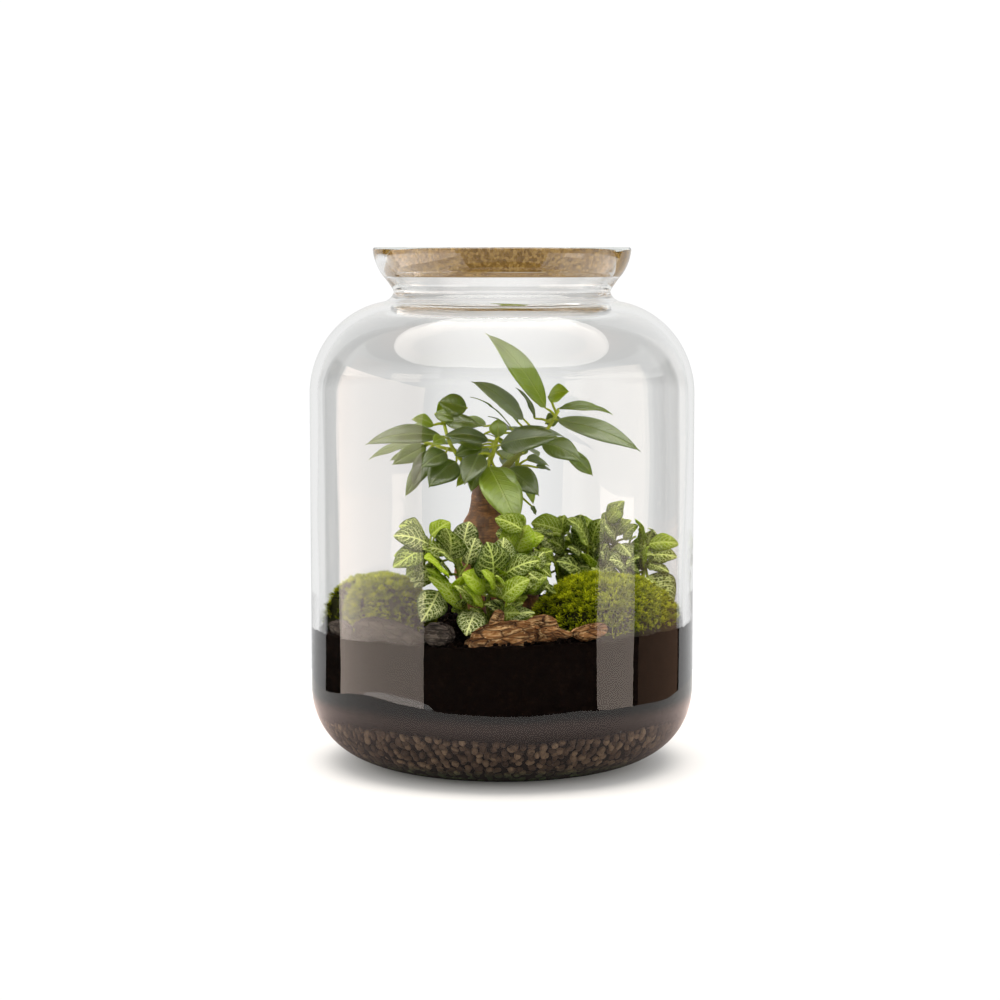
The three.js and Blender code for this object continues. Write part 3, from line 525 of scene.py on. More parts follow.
def soil(material):
    """Potting soil: lumpy on top, and pressed unevenly against the glass."""
    edge = soil_edge()
    foot = shore(gravel_height, JAR_SEGMENTS)
    foot[:, 2] += lumps(foot, SOIL_FOOT_WAVE) + 0.2
    sides = []
    for share in np.linspace(0, 1, SOIL_SIDE_RINGS):
        height = foot[:, 2] + (edge[:, 2] - foot[:, 2]) * share
        ring = circle(wall_inside(height), height, JAR_SEGMENTS)
        sides.append(shift_points(ring, -hollows(ring, SOIL_HOLLOWS)))
    tops = []
    for radius in np.linspace(JAR_RADIUS - WALL - 3, 2, SOIL_TOP_RINGS):
        ring = on_surface(radius, soil_height, JAR_SEGMENTS)
        ring[:, 2] += lumps(ring, *SOIL_LUMPS) - 0.3
        tops.append(ring)
    bottoms = [on_surface(radius, gravel_height, JAR_SEGMENTS, 0.6) for radius in (10, 50, 90)]
    build = Build()
    build.add(*loft([*bottoms, *sides, *tops]))
    rng = np.random.default_rng(7)
    turn = rng.uniform(0, 2 * np.pi, CRUMBS)
    radius = (JAR_RADIUS - WALL - 3.5) * rng.uniform(0, 1, CRUMBS) ** 0.4
    x, y = polar(radius, turn)
    centres = np.column_stack([x, y, soil_height(x, y) + rng.uniform(0, 0.9, CRUMBS)])
    sizes = rng.uniform(0.5, 1, (CRUMBS, 3)) * rng.uniform(0.7, 2.1, (CRUMBS, 1))
    scatter(build, centres, sizes, CRUMB_ROUGH, rng, subdivisions=1)
    build.piece("soil", [material], "soil", ["potting_soil"], sharp=70)


# ------------------------------------------------------------ moss


def normalised(vectors):
    """The same directions with length 1."""
    return vectors / np.linalg.norm(vectors, axis=-1, keepdims=True)


def moss(name, node, centre, half_width, half_depth, height, reach, seed, materials):
    """A cushion of moss: a lumpy dome, thick with short upright shoots."""
    x, y = centre
    rng = np.random.default_rng(seed)

    def span(turn):
        c, s = math.cos(turn), math.sin(turn)
        length = 1 / math.hypot(c / half_width, s / half_depth)
        while math.hypot(x + length * c, y + length * s) > reach(x + length * c, y + length * s):
            length -= MOSS_EDGE_STEP
        return length

    spans = np.array([span(2 * math.pi * i / MOSS_SEGMENTS) for i in range(MOSS_SEGMENTS)])

    def surface(turn, share):
        length = np.interp(turn, np.linspace(0, 2 * np.pi, MOSS_SEGMENTS + 1), [*spans, spans[0]]) * share
        dx, dy = polar(length, turn)
        px, py = x + dx, y + dy
        dome = height * np.maximum(1 - share**2.6, 0) ** 0.6
        ground = np.column_stack([px, py, soil_height(px, py)])
        uneven = lumps(ground, (2.0, 9, seed), (1.7, 4, seed + 1))
        ground[:, 2] += dome - MOSS_SUNK + uneven * (1 - share**3)
        return ground

    shares = np.linspace(1, 0.02, MOSS_RINGS)
    rings = [surface(turns(MOSS_SEGMENTS), np.full(MOSS_SEGMENTS, share)) for share in shares]
    build = Build()
    build.add(*loft([rings[0] - vec(0, 0, MOSS_SKIRT), *rings]), 1)

    tufts = int(half_width * half_depth * TUFTS_PER_SQUARE)
    turn, shares = rng.uniform(0, 2 * np.pi, tufts), np.sqrt(rng.uniform(0.0, 1, tufts)) * 0.985
    at = surface(turn, shares)
    outward = surface((turn + 0.03) % (2 * np.pi), shares) - at
    inward = surface(turn, shares * 0.97) - at
    normal = normalised(np.cross(outward, inward))
    normal *= np.sign(normal[:, 2:])
    many = (tufts, SHOOTS_PER_TUFT)
    lean = normalised(normal[:, None] + rng.normal(0, SHOOT_SPREAD, (*many, 3)))
    length = rng.uniform(*SHOOT_LENGTH, (tufts, 1, 1)) * rng.uniform(0.6, 1, (*many, 1))
    roots = at[:, None] + rng.uniform(-0.7, 0.7, (*many, 3)) * vec(1, 1, 0.3) - normal[:, None] * 0.5
    tips = roots + lean * length
    room = JAR_RADIUS - WALL - 1
    far = np.hypot(tips[..., 0], tips[..., 1])
    tips[..., :2] *= np.minimum(1, room / far)[..., None]
    side = normalised(np.cross(lean, vec(0.3, 0.5, 0.81)))
    other = np.cross(lean, side)
    width = rng.uniform(*SHOOT_WIDTH, (*many, 1))
    middle = roots + (tips - roots) * SHOOT_WAIST
    corners = [
        roots - side * width * 0.5,
        middle + side * width,
        middle - side * width * 0.6 + other * width * 0.8,
        middle - side * width * 0.6 - other * width * 0.8,
        tips,
    ]
    points = np.stack(corners, axis=2).reshape(-1, 3)
    count = tufts * SHOOTS_PER_TUFT
    start = np.arange(count)[:, None] * len(corners)
    faces = (start[:, :, None] + np.array(SHOOT_FACES)[None]).reshape(-1, 3).tolist()
    along = np.tile([0, SHOOT_WAIST, SHOOT_WAIST, SHOOT_WAIST, 1.0], count)
    tint = np.repeat(rng.uniform(0, 1, tufts), SHOOTS_PER_TUFT * len(corners))
    place = np.column_stack([tint, along, np.zeros(len(points))])
    build.add(points, faces, 0, place=place)
    build.piece(name, materials, "moss", [node])


# ------------------------------------------------------------ bark


def random_from(seed):
    """The same repeatable numbers that shape the plain flakes."""
    state = seed

    def draw():
        nonlocal state
        state = (state * 1664525 + 1013904223) % 2**32
        return state / 2**32

    return draw


# Length, width, thickness of each layer, seed, place and turn in degrees.
FLAKES = [
    (46, 19, [3, 2.4], 3, (2, -100, 89), (82, -6, 2)),
    (56, 15, [3, 2.4], 8, (-62, -78, 89), (84, 2, -41)),
    (19, 16, [4, 3], 21, (-34, -94, 90), (74, 0, -18)),
    (24, 19, [3], 14, (21, -92.5, 92.5), (72, -5, 12)),
    (18.2, 6, [2.4], 31, (31, -99.2, 92), (80, 10, 14)),
    (24, 10, [3, 2], 17, (48.5, -91.5, 91.4), (76, -4, 26)),
    (26, 11, [2.6, 2], 52, (-91, -45, 86), (80, 4, -63)),
    (9, 22, [2.6], 40, (-4, -91.5, 95), (76, 12, 6)),
]
GREY_FLAKES = (2, 3, 7)
FLAKE_POINTS = 90
FLAKE_REACHES = 9
SPLIT_SHEETS = 3
LAYER_OVERLAP = 0.4


def bark_flake(number, flake, material, slot):
    """A flake of bark: split sheets with ragged edges, grooved along their grain."""
    long, wide, layers, seed, place, tilt = flake
    draw = random_from(seed)
    turn = turns(FLAKE_POINTS)
    corners = 2 * np.pi * np.arange(FLAKE_REACHES + 1) / FLAKE_REACHES
    rings, depth = [], 0.0
    for i, thickness in enumerate(layers):
        reach = [(1 - 0.14 * i) * (0.82 + 0.3 * draw()) for _ in range(FLAKE_REACHES)]
        edge = np.interp(turn, corners, [*reach, reach[0]])
        shift = 1.4 * i * (draw() - 0.5)
        for k in range(SPLIT_SHEETS):
            ragged = circle(4, i * 3 + k, FLAKE_POINTS)
            local = edge * (1 - 0.035 * k + 0.06 * wobble(ragged, 0.8, seed + k))
            x = local * long * np.cos(turn) / 2 + shift
            y = local * wide * np.sin(turn) / 2
            for level in (k, k + 1):
                height = depth + thickness * level / SPLIT_SHEETS
                rings.append(np.column_stack([x, y, np.full(FLAKE_POINTS, height)]))
        depth += thickness - LAYER_OVERLAP
    middle, floor = rings[-1].mean(0), rings[0].mean(0)
    under = [floor + (rings[0] - floor) * vec(share, share, 1) for share in (0.15, 0.5, 0.85)]
    rings += [middle + (rings[-1] - middle) * vec(share, share, 1) for share in np.linspace(0.92, 0.1, 14)]
    points, faces = loft([*under, *rings])
    grain = points * vec(0.22, 1, 1)
    grooves = lumps(grain, (0.55, 1.9, seed), (0.3, 0.8, seed + 2))
    inside = 1 - np.hypot(points[:, 0] / long, points[:, 1] / wide)
    bowed = points + np.column_stack([0.3 * grooves, 0.5 * grooves, grooves * np.sign(points[:, 2] - 1.2)])
    bowed[:, 2] += inside * 0.8 + 0.9 * wobble(points * vec(0.5, 1, 1), 4.5, seed + 5)
    turned = np.array(Euler([math.radians(a) for a in tilt], "XYZ").to_matrix())
    build = Build()
    build.add(bowed @ turned.T + vec(*place), faces, span=points)
    build.piece(f"bark_flake_{number}", [material], slot, [f"bark_{number}"], sharp=50)


# ------------------------------------------------------------ leaves


def fig_outline(t):
    """Half the width of a fig leaf along its length: an oval that ends in a short drip tip."""
    body = np.sin(np.pi * np.clip(t / 0.97, 0, 1) ** 0.85) ** 0.8
    drip = 0.1 * (1 - t) ** 0.6 * np.clip((t - 0.6) / 0.3, 0, 1)
    return np.maximum(body, drip)


def nerve_outline(t):
    """Half the width of a nerve plant's leaf: a broad oval that ends in a point."""
    return np.maximum(np.sin(np.pi * np.clip(t, 0, 1) ** 0.84), 0) ** 0.72


FIG = dict(outline=fig_outline, breadth=1.08, arch=0.07, fold=0.18, wave=0.35, quilt=0.06)
FIG.update(veins=11, sweep=0.2, rows=24, columns=10)
NERVE = dict(outline=nerve_outline, breadth=1.32, arch=0.08, fold=0.1, wave=0.7, quilt=0.6)
NERVE.update(veins=6.5, sweep=0.34, rows=26, columns=16)


def vein_distance(u, t, form):
    """How far a point of a blade is from its nearest side vein: 0 on the vein, 0.5 between two."""
    phase = (t - form["sweep"] * np.abs(u) ** 1.3) * form["veins"]
    return np.abs(phase - np.round(phase))


def blade_faces(rows, columns):
    """The faces of a thin grid with a top, an underside and four rims."""
    across = columns + 1
    total = across * (rows + 1)
    faces = []

    def rim(a, b, turned):
        faces.append((a, total + a, total + b, b) if turned else (a, b, total + b, total + a))

    for i in range(rows):
        for k in range(columns):
            a = i * across + k
            faces.append((a, a + 1, a + across + 1, a + across))
            faces.append((total + a, total + a + across, total + a + across + 1, total + a + 1))
        for k, turned in ((0, False), (columns, True)):
            rim(i * across + k, (i + 1) * across + k, turned)
    for i, turned in ((0, True), (rows, False)):
        for k in range(columns):
            rim(i * across + k, i * across + k + 1, turned)
    return faces


def add_leaf(build, base, tip, width, roll, form, facts):
    """A thin closed blade, arched and folded along its midrib, puckered between its veins."""
    rows, columns = form["rows"], form["columns"]
    run = tip - base
    length = np.linalg.norm(run)
    along = run / length
    up = vec(*LEAF_UP)
    normal = unit(up - along * (up @ along))
    angle = math.radians(roll)
    normal = normal * math.cos(angle) + np.cross(along, normal) * math.sin(angle)
    side = np.cross(along, normal)
    t = np.linspace(0, 1, rows + 1)[:, None]
    u = np.linspace(-1, 1, columns + 1)[None, :]
    half = width / 2 * form["outline"](t)
    lift = form["arch"] * length * 4 * t * (1 - t) - 0.05 * length * t**6
    phase = facts[1] * 6.3
    edge_wave = form["wave"] * u**2 * np.sin(t * 11 + phase + u * 1.5) * np.sin(np.pi * t)
    between = np.minimum(vein_distance(u, t, form) * 3, 1) * np.minimum(np.abs(u) * 5, 1)
    pucker = form["quilt"] * between * np.sin(np.pi * t) ** 0.5 * (1 - 0.6 * u**4)
    curl = -0.12 * half * u**4
    raised = lift + np.sqrt(u**2 + 0.01) * half * form["fold"] + edge_wave + pucker + curl
    sway = 0.03 * length * np.sin(np.pi * t) * math.sin(phase)
    middle = base + run * t[..., None] + side * sway[..., None] + normal * raised[..., None]
    middle = middle + side * (u * half)[..., None]
    thick = BLADE_THICKNESS / 2 * (1 - 0.75 * u**6) * np.ones_like(t)
    top = (middle + normal * thick[..., None]).reshape(-1, 3)
    under = (middle - normal * thick[..., None]).reshape(-1, 3)
    blank = np.zeros_like(t * u)
    place = np.stack([u + blank, t + blank, blank], axis=2).reshape(-1, 3)
    span = np.stack([u * half, t * length + blank, facts[1] * 90 + blank], axis=2).reshape(-1, 3)
    skins = np.vstack([top, under])
    build.add(skins, blade_faces(rows, columns), 0, np.vstack([place] * 2), np.vstack([span] * 2), facts)


def petiole_root(paths, target, below):
    """The place on a stem where a leaf's stalk starts: the nearest one, a little below the stem's end."""
    best = None
    for path in paths:
        for start, end in zip(path, path[1:]):
            reach = np.linalg.norm(end - start)
            share = np.clip((target - start) @ (end - start) / reach**2, 0, 1)
            found = start + (end - start) * max(min(share, 1 - below / reach), 0)
            if best is None or np.linalg.norm(found - target) < np.linalg.norm(best - target):
                best = found
    return best


def undergrowth(leaves, count, rng):
    """Small inner leaves between a plant's main ones, which are where its solid has them."""
    extra = []
    for _ in range(count):
        bx, by, bz, tx, ty, tz, width, roll, _ = leaves[rng.integers(len(leaves))]
        base = vec(bx, by, bz) + (rng.normal(0, 1, 3) * vec(6, 4, 6) + vec(0, 4, -6))
        tip = base + (vec(tx, ty, tz) - vec(bx, by, bz)) * rng.uniform(0.55, 0.85) + rng.normal(0, 2, 3)
        ground = soil_height(base[0], base[1]) + 7
        reach = np.hypot(*tip[:2])
        if min(base[2], tip[2]) > ground and reach < JAR_RADIUS - WALL - 6:
            width, roll = width * rng.uniform(0.6, 0.9), roll + rng.normal(0, 12)
            extra.append((*base, *tip, width, roll, rng.uniform(0, 0.7)))
    return extra


def leafy_stem(name, node, slot, stems, leaves, form, materials, seed, inner):
    """A forked stem and its leaves.

    A stem is its points and the radii at both ends. A leaf is base x, y, z, tip x, y, z, width, roll
    and youth. A youth below 0 marks a leaf with painted sheen, which the fig's material reads as a fact above
    1."""
    rng = np.random.default_rng(seed)
    build = Build()
    paths = [[vec(*p) for p in points] for points, _, _ in stems]
    for (_, thick, thin), path in zip(stems, paths):
        fine = smooth_path(path, 5)
        radii = np.linspace(thick, thin, len(fine)) * 0.95
        knots = 1 + 0.14 * np.abs(np.sin(np.arange(len(fine)) * 0.8)) ** 6
        points, faces = tube(fine, radii * knots)
        build.add(points, faces, 1, facts=(0.3, rng.random(), 0, 1))
    leaves = [*leaves, *undergrowth(leaves, inner, rng)]
    for i, (bx, by, bz, tx, ty, tz, width, roll, youth) in enumerate(leaves):
        base, tip = vec(bx, by, bz), vec(tx, ty, tz)
        tone = rng.random()
        pale = rng.random()
        # A youth below 0 sets the third fact above 1, which the fig's material paints as sheen.
        facts = (max(youth, 0), tone, pale if youth >= 0 else 1 - 2 * youth, 1)
        root = petiole_root(paths, base, 0.9 + 0.37 * (i % 5))
        heading = unit(tip - base)
        sag = (root + base) / 2 + vec(0, 0, 0.06) * np.linalg.norm(base - root)
        stalk = smooth_path([root, sag, base, base + heading * min(2.0, 0.1 * np.linalg.norm(tip - base))], 4)
        radii = np.linspace(PETIOLE_RADIUS * 1.05, PETIOLE_RADIUS * 0.55, len(stalk))
        points, faces = tube(stalk, radii, 7)
        build.add(points, faces, 1, facts=facts)
        add_leaf(build, base, tip, width * form["breadth"], roll, form, facts)
    build.piece(name, materials, slot, [node])


# ------------------------------------------------------------ fig

STUBS = {
    "left": [(-12, -1, 163), (-18, -2, 174), (-23, -6, 181)],
    "centre": [(-11, -2, 163), (-10, -5, 170), (-9, -7, 175)],
    "right": [(-10, 1, 163), (-1, 2, 174), (12, 0, 187)],
    "back": [(-12, 3, 163), (-10, 9, 172), (-7, 14, 180)],
}

# Each shoot's forks, as points with the radii at both ends, and its leaves. A leaf's youth below 0 gives it
# painted sheen.
SHOOTS = {
    "left": ([
        ([(-27.5, -9.2, 187), (-32, -7, 195), (-35, 1, 205)], 1.6, 1),
        ([(-27, -8.5, 188), (-36, -8, 190), (-43, -2, 192)], 1.3, 0.9),
    ], [
        (-36, -12, 197, -80, -24, 194, 13, -30, 0), (-52, 4, 192, -81, 9, 182, 7, -20, 0.1),
        (-46, 3, 190, -66, -9, 180, 11, -38, 0.2), (-44, -7, 188, -53, -20, 167, 11, -18, 0),
        (-33, -20, 188, -47, -36, 181, 12, -35, 0), (-27, -16, 182, -43, -33, 169, 18, -24, 0),
        (-39, 5, 208, -35, 11, 219, 6, 55, 0.6), (-41, -2, 203, -54, -8, 207, 9, -32, 0.6),
        (-42, 9, 202, -58, 20, 199, 10, -10, 0.4), (-21, 3, 213, -38, -2, 217, 14, -40, 0.2),
        (-34, -2, 205, -13, -9, 203, 10, 36, 0.1),
    ]),
    "centre": ([
        ([(-7.5, -9.9, 182.5), (-5, -12, 188), (-5, -10, 194)], 1.6, 1),
    ], [
        (-8, -14, 195, -34, -28, 199, 11, -32, 0), (-1, -17, 192, 33, -36, 199, 18, 36, 0),
        (-2, -6, 196, -2, -2, 207, 10, 0, 0.6), (-8, -20, 180, 9, -46, 147, 23, 0, 0.75),
        (-13, -20, 187, -22, -37, 171, 15, -6, 0), (-12, -10, 190, -28, -16, 186, 11, -36, 0.1),
        (-15, -15, 178, -27, -22, 168, 8, -20, 1),
    ]),
    "right": ([
        ([(18.5, -1, 193.5), (27, 0, 200), (34, 5, 211)], 1.6, 1),
        ([(18.5, -1, 193), (23, -7, 194), (28, -12, 192)], 1.3, 0.9),
    ], [
        (26, 1, 213, -8, -13, 260, 17, -34, 0.75), (13, 3, 206, -17, -9, 230.5, 15, -26, -0.35),
        (20, 10, 206, 9, 16, 225, 6, 25, 0), (6, 8, 200, -18, 14, 220, 6, 35, 0.1),
        (28, 9, 219, 40, 2, 223, 13, 36, 1), (33, -4, 206, 82, -20, 190, 14, 26, -0.25),
        (34, 9, 212, 68, 18, 209, 9, 12, 0.2), (24, -12, 193, 47, -24, 183, 14, 30, 0.1),
        (38, -8, 188, 55, -6, 173, 10, 34, 0.3),
    ]),
    "low": ([
        ([(-5.1, -2, 161), (3, -2, 172), (10, 5, 178)], 1.4, 0.9),
    ], [
        (3, -8, 177, 22, -22, 163, 16, 22, 0), (14, 2, 169, 19, 0, 155, 6, 10, 0.9),
        (15, 10, 181, 29, 20, 177, 10, 15, 0.2), (8, 12, 183, 13, 24, 187, 11, 0, 0.5),
    ]),
    "back": ([
        ([(-4.2, 18.7, 187.4), (-3, 24, 194), (-4, 26, 201)], 1.6, 1),
    ], [
        (-8, 27, 186, -15, 60, 176, 18, 0, 0), (2, 28, 187, 24, 58, 180, 18, 0, 0.1),
        (-12, 24, 191, -42, 42, 187, 15, 0, 0), (0, 33, 197, 8, 62, 195, 16, 0, 0.2),
        (6, 26, 196, 40, 44, 193, 15, 0, 0), (-10, 30, 200, -34, 48, 201, 14, 0, 0.5),
        (0, 24, 181, 10, 44, 164, 15, 0, 0.1), (-14, 20, 182, -32, 38, 167, 15, 0, 0),
    ]),
}

# The points of each root and the radii there.
ROOTS = [
    ([(-14, -1, 134), (-19, -4, 119), (-18, -6, 102), (-16, -7, 82)], [11, 9.5, 8, 6.5]),
    ([(2, -3, 134), (3, -7, 118), (2, -9, 102), (2, -9, 82)], [11, 10, 8.5, 6.5]),
    ([(8, 3, 134), (14, 7, 118), (16, 10, 102), (16, 11, 82)], [9, 7.5, 6.5, 5.5]),
]
# The trunk's sections: x, y, z, half width and half depth.
BULB = [
    (-5, 0, 112, 12, 10), (-5, 0, 120, 17, 13.5), (-5, 0, 130, 19.5, 15.5), (-5.5, 0, 140, 18.5, 15),
    (-6.2, 0, 147, 15.2, 13.5), (-8, 0, 150, 12, 11), (-11.4, 0, 154, 7.6, 8), (-11.8, 0, 160, 6.1, 6.4),
    (-12, 0, 168, 5.6, 5.6),
]
BULGE_CENTRE = (10, -5, 129)
BULGE_RADII = (7.2, 6.4, 9.6)


def shoot_forks(name):
    """A shoot's stems. The first one goes on from the end of its stub."""
    forks = SHOOTS[name][0]
    if name not in STUBS:
        return forks
    end, before = vec(*STUBS[name][-1]), vec(*STUBS[name][-2])
    heading = unit(end - before)
    (points, thick, thin), *others = forks
    return [([end - heading * 1.5, end + heading * 3, *points], thick, thin), *others]


def trunk_parts():
    """The closed shapes that are fused into the trunk."""
    turn = turns(32)
    rings = []
    for x, y, z, half_width, half_depth in smooth_path(BULB, 4):
        swell = 1 + 0.05 * np.sin(3 * turn + z / 9)
        ring = [x + swell * half_width * np.cos(turn), y + swell * half_depth * np.sin(turn), turn * 0 + z]
        rings.append(np.column_stack(ring))
    parts = [loft(rings)]
    for points, radii in ROOTS:
        path = smooth_path(points, 6)
        parts.append(tube(path, np.interp(np.linspace(0, 3, len(path)), range(4), radii), 20))
    points, faces = ball(3)
    parts.append((points * vec(*BULGE_RADII) + vec(*BULGE_CENTRE), faces))
    for stub in STUBS.values():
        path = smooth_path(stub, 5)
        parts.append(tube(path, np.linspace(STUB_RADIUS * STUB_FLARE, STUB_END_RADIUS, len(path)), 14))
    return parts


def fused(parts):
    """One smooth skin round overlapping closed shapes."""
    build = Build()
    for points, faces in parts:
        build.add(points, faces)
    mesh = bpy.data.meshes.new("trunk_parts")
    mesh.from_pydata((np.vstack(build.points) * MM).tolist(), [], build.faces)
    rough = bpy.data.objects.new("trunk_parts", mesh)
    bpy.context.scene.collection.objects.link(rough)
    fuse = rough.modifiers.new("fuse", "REMESH")
    fuse.mode = "VOXEL"
    fuse.voxel_size = TRUNK_VOXEL * MM
    soften = rough.modifiers.new("soften", "SMOOTH")
    soften.factor = 0.6
    soften.iterations = 9
    seen = rough.evaluated_get(bpy.context.evaluated_depsgraph_get())
    skin = bpy.data.meshes.new_from_object(seen)
    bpy.data.objects.remove(rough)
    return skin


def fig_trunk(material):
    """The swollen trunk: lobes and roots fused to one skin, ringed and wrinkled."""
    skin = fused(trunk_parts())
    points = np.array([v.co[:] for v in skin.vertices]) / MM
    normals = np.array([v.normal[:] for v in skin.vertices])
    rings = wobble(points * vec(0.35, 0.35, 1), 1.7, 3) * 0.22
    bumps = wobble(points, 7, 8) * 0.7 + wobble(points * vec(1, 1, 0.3), 2.6, 12) * 0.35
    upper = np.clip((points[:, 2] - TRUNK_WAIST) / 14, 0, 1)
    points = points + normals * (rings * (0.4 + upper) + bumps * (1 - 0.5 * upper))[:, None]
    skin.vertices.foreach_set("co", (points * MM).astype(np.float32).ravel())
    skin.polygons.foreach_set("use_smooth", [True] * len(skin.polygons))
    mark(skin, "span", points)
    dress("trunk", skin, [material], ["ficus_trunk"])


# ------------------------------------------------------------ nerve plants

# Each plant's root, its forks and its leaves.
NERVE_PLANTS = {
    "front_left": ((-18, -72), [
        [(-20, -72, 100), (-29, -69, 110), (-38, -65, 121), (-43, -61, 131)],
        [(-20, -72, 99), (-22, -73, 110), (-25, -67, 122)],
    ], [
        (-42, -64, 138, -61, -75, 145, 13, -42, 0.1), (-45, -67, 137, -61, -83, 128, 11, -36, 0.1),
        (-44, -58, 128, -57, -64, 129, 9, -36, 0.2), (-41, -54, 142, -30, -49, 150, 10, 22, 0.9),
        (-30, -64, 130, -31, -72, 149, 17, 0, 0), (-22, -53, 137, -19, -48, 150, 12, 0, 0),
        (-32, -75, 122, -43, -88, 134, 16, -14, 1), (-23, -84, 104, -41, -87, 123, 8, -30, 0.8),
        (-36, -78, 113, -45, -92, 98, 14, -30, 0), (-20, -60, 126, -15, -54, 142, 12, 0, 0),
        (-25, -80, 113, -21, -88, 124, 9, 0, 0.9), (-40, -70, 124, -52, -77, 119, 9, -30, 0.2),
    ]),
    "front_centre": ((-7, -75), [
        [(-8, -75, 106), (-6, -75, 116)],
    ], [
        (-6, -80, 120, -8, -85, 142, 19, 0, 0), (0, -71, 126, 1, -68, 143, 12, 0, 0.1),
        (2, -78, 123, 20, -86, 132, 12, 40, 0.1), (-9, -84, 115, -22, -91, 125, 12, -38, 1),
        (-4, -87, 116, -11, -92, 127, 10, -14, 0.9), (0, -86, 110, 15, -92, 122, 12, 32, 0.7),
        (-11, -85, 105, -21, -92, 118, 8, -26, 0.9), (2, -84, 104, 7, -89, 116, 8, 4, 0.8),
    ]),
    "front_right": ((4, -70), [
        [(5, -71, 103), (7, -67, 114), (9, -60, 125), (9, -54, 131)],
    ], [
        (12, -60, 146, -4, -58, 153, 10, -38, 0.5), (9, -58, 133, 15, -56, 149, 14, 0, 1),
        (6, -58, 136, 2, -56, 147, 9, -14, 1), (13, -60, 138, 24, -60, 143, 8, 34, 1),
        (15, -66, 123, 24, -63, 134, 11, 14, 0.1), (15, -71, 123, 27, -76, 114, 6, 40, 0.3),
        (10, -68, 112, 20, -76, 118, 9, 34, 0.2),
    ]),
    "front_low": ((-9, -84), [
        [(-11, -84, 96), (-14, -82, 101)],
        [(-9.5, -84, 92), (-4, -84, 97)],
    ], [
        (-15, -84, 102, -20, -98, 91, 13, -6, 0), (0, -85, 98, 18, -92, 103, 8, 30, 0),
    ]),
    "back_left": ((40, 14), [
        [(39, 12, 110), (37, 10, 124), (37, 10, 134)],
    ], [
        (37, 7, 138, 18, -1, 144, 14, -40, 0.6), (34, 2, 136, 15, -8, 139, 8, -10, 0.2),
        (34, -1, 129, 20, -9, 137, 11, -42, 0.1), (36, 14, 134, 38, 16, 147, 8, 0, 0.4),
        (42, 5, 126, 39, 0, 134, 7, 0, 1), (43, 5, 125, 49, 2, 131, 7, 14, 1),
        (33, -3, 111, 28, -9, 126, 9, 0, 0.9), (37, 0, 110, 36, -7, 124, 8, 0, 0.9),
        (34, 16, 126, 20, 22, 134, 12, -30, 0.1),
    ]),
    "back_centre": ((54, 10), [
        [(54, 8, 110), (52, 6, 124), (52, 5, 132)],
        [(54, 8, 109), (46, -4, 122)],
    ], [
        (52, 2, 130, 40, -6, 147, 18, -12, 0.3), (55, 5, 131, 60, 3, 146, 12, 8, 0.3),
        (52, -6, 112, 33, -17, 123, 13, -40, 0), (50, -3, 120, 40, -12, 131, 11, -24, 0.1),
        (53, -8, 118, 48, -18, 128, 9, 0, 0.5), (58, 4, 118, 63, -1, 131, 12, 24, 0),
        (57, 0, 112, 68, -9, 119, 12, 34, 0.1), (56, 13, 120, 60, 20, 134, 14, 0, 0),
    ]),
    "back_right": ((67, 18), [
        [(68, 17, 110), (69, 14, 124), (68, 14, 131)],
    ], [
        (65, 13, 141, 74, 12, 156, 14, 0, 0.2), (69, 10, 132, 61, 4, 142, 9, -20, 0.3),
        (74, 8, 133, 82, 4, 142, 9, 22, 0.4), (72, 6, 130, 78, -3, 124, 9, 10, 0.3),
        (69, 15, 134, 74, 18, 145, 9, 0, 0.4), (76, 2, 115, 65, -10, 123, 14, -34, 0.1),
        (64, 22, 127, 53, 29, 138, 12, -20, 0.1), (73, 4, 113, 82, -6, 124, 13, 16, 0.1),
    ]),
    "right": ((85, 22), [
        [(86, 18, 104), (87, 13, 117), (86, 12, 125)],
    ], [
        (86, 8, 132, 81, 3, 146, 8, 20, 0.6), (89, 7, 130, 107, 0, 131, 9, 38, 0.8),
        (89, 12, 128, 92, 12, 138, 7, 10, 0.2), (90, 5, 123, 105, -6, 124, 9, 38, 0.1),
        (89, 2, 119, 100, -7, 115, 5, 30, 0.3), (86, 4, 116, 88, -1, 130, 8, 10, 0.8),
        (88, -2, 112, 102, -14, 97, 17, 28, 0), (85, 15, 114, 80, 12, 124, 11, -20, 0.1),
        (88, 18, 126, 94, 29, 134, 12, 0, 0.1),
    ]),
}


def nerve_stems(root, forks):
    """A nerve plant's stems. The first one rises from the soil."""
    x, y = root
    ground = soil_height(x, y)
    main, *others = forks
    rising = [(x, y, ground - 5), (x, y, ground + 2), *main]
    return [(rising, NERVE_STEM_RADIUS, 1), *[(path, NERVE_FORK_RADIUS, 1) for path in others]]


# ------------------------------------------------------------ materials


class Flow:
    """What comes out of a node. Arithmetic with flows and numbers adds Math nodes."""

    def __init__(self, nodes, socket):
        self.nodes, self.socket = nodes, socket

    def __rsub__(self, other):
        return self.nodes.math("SUBTRACT", other, self)

    def __abs__(self):
        return self.nodes.math("ABSOLUTE", self)

    def between(self, low, high):
        return self.larger(low).smaller(high)


OPERATIONS = {"__add__": "ADD", "__sub__": "SUBTRACT", "__mul__": "MULTIPLY", "__truediv__": "DIVIDE"}
OPERATIONS.update(__gt__="GREATER_THAN", __lt__="LESS_THAN", larger="MAXIMUM", smaller="MINIMUM")
for method, operation in OPERATIONS.items():
    setattr(Flow, method, lambda a, b, kind=operation: a.nodes.math(kind, a, b))


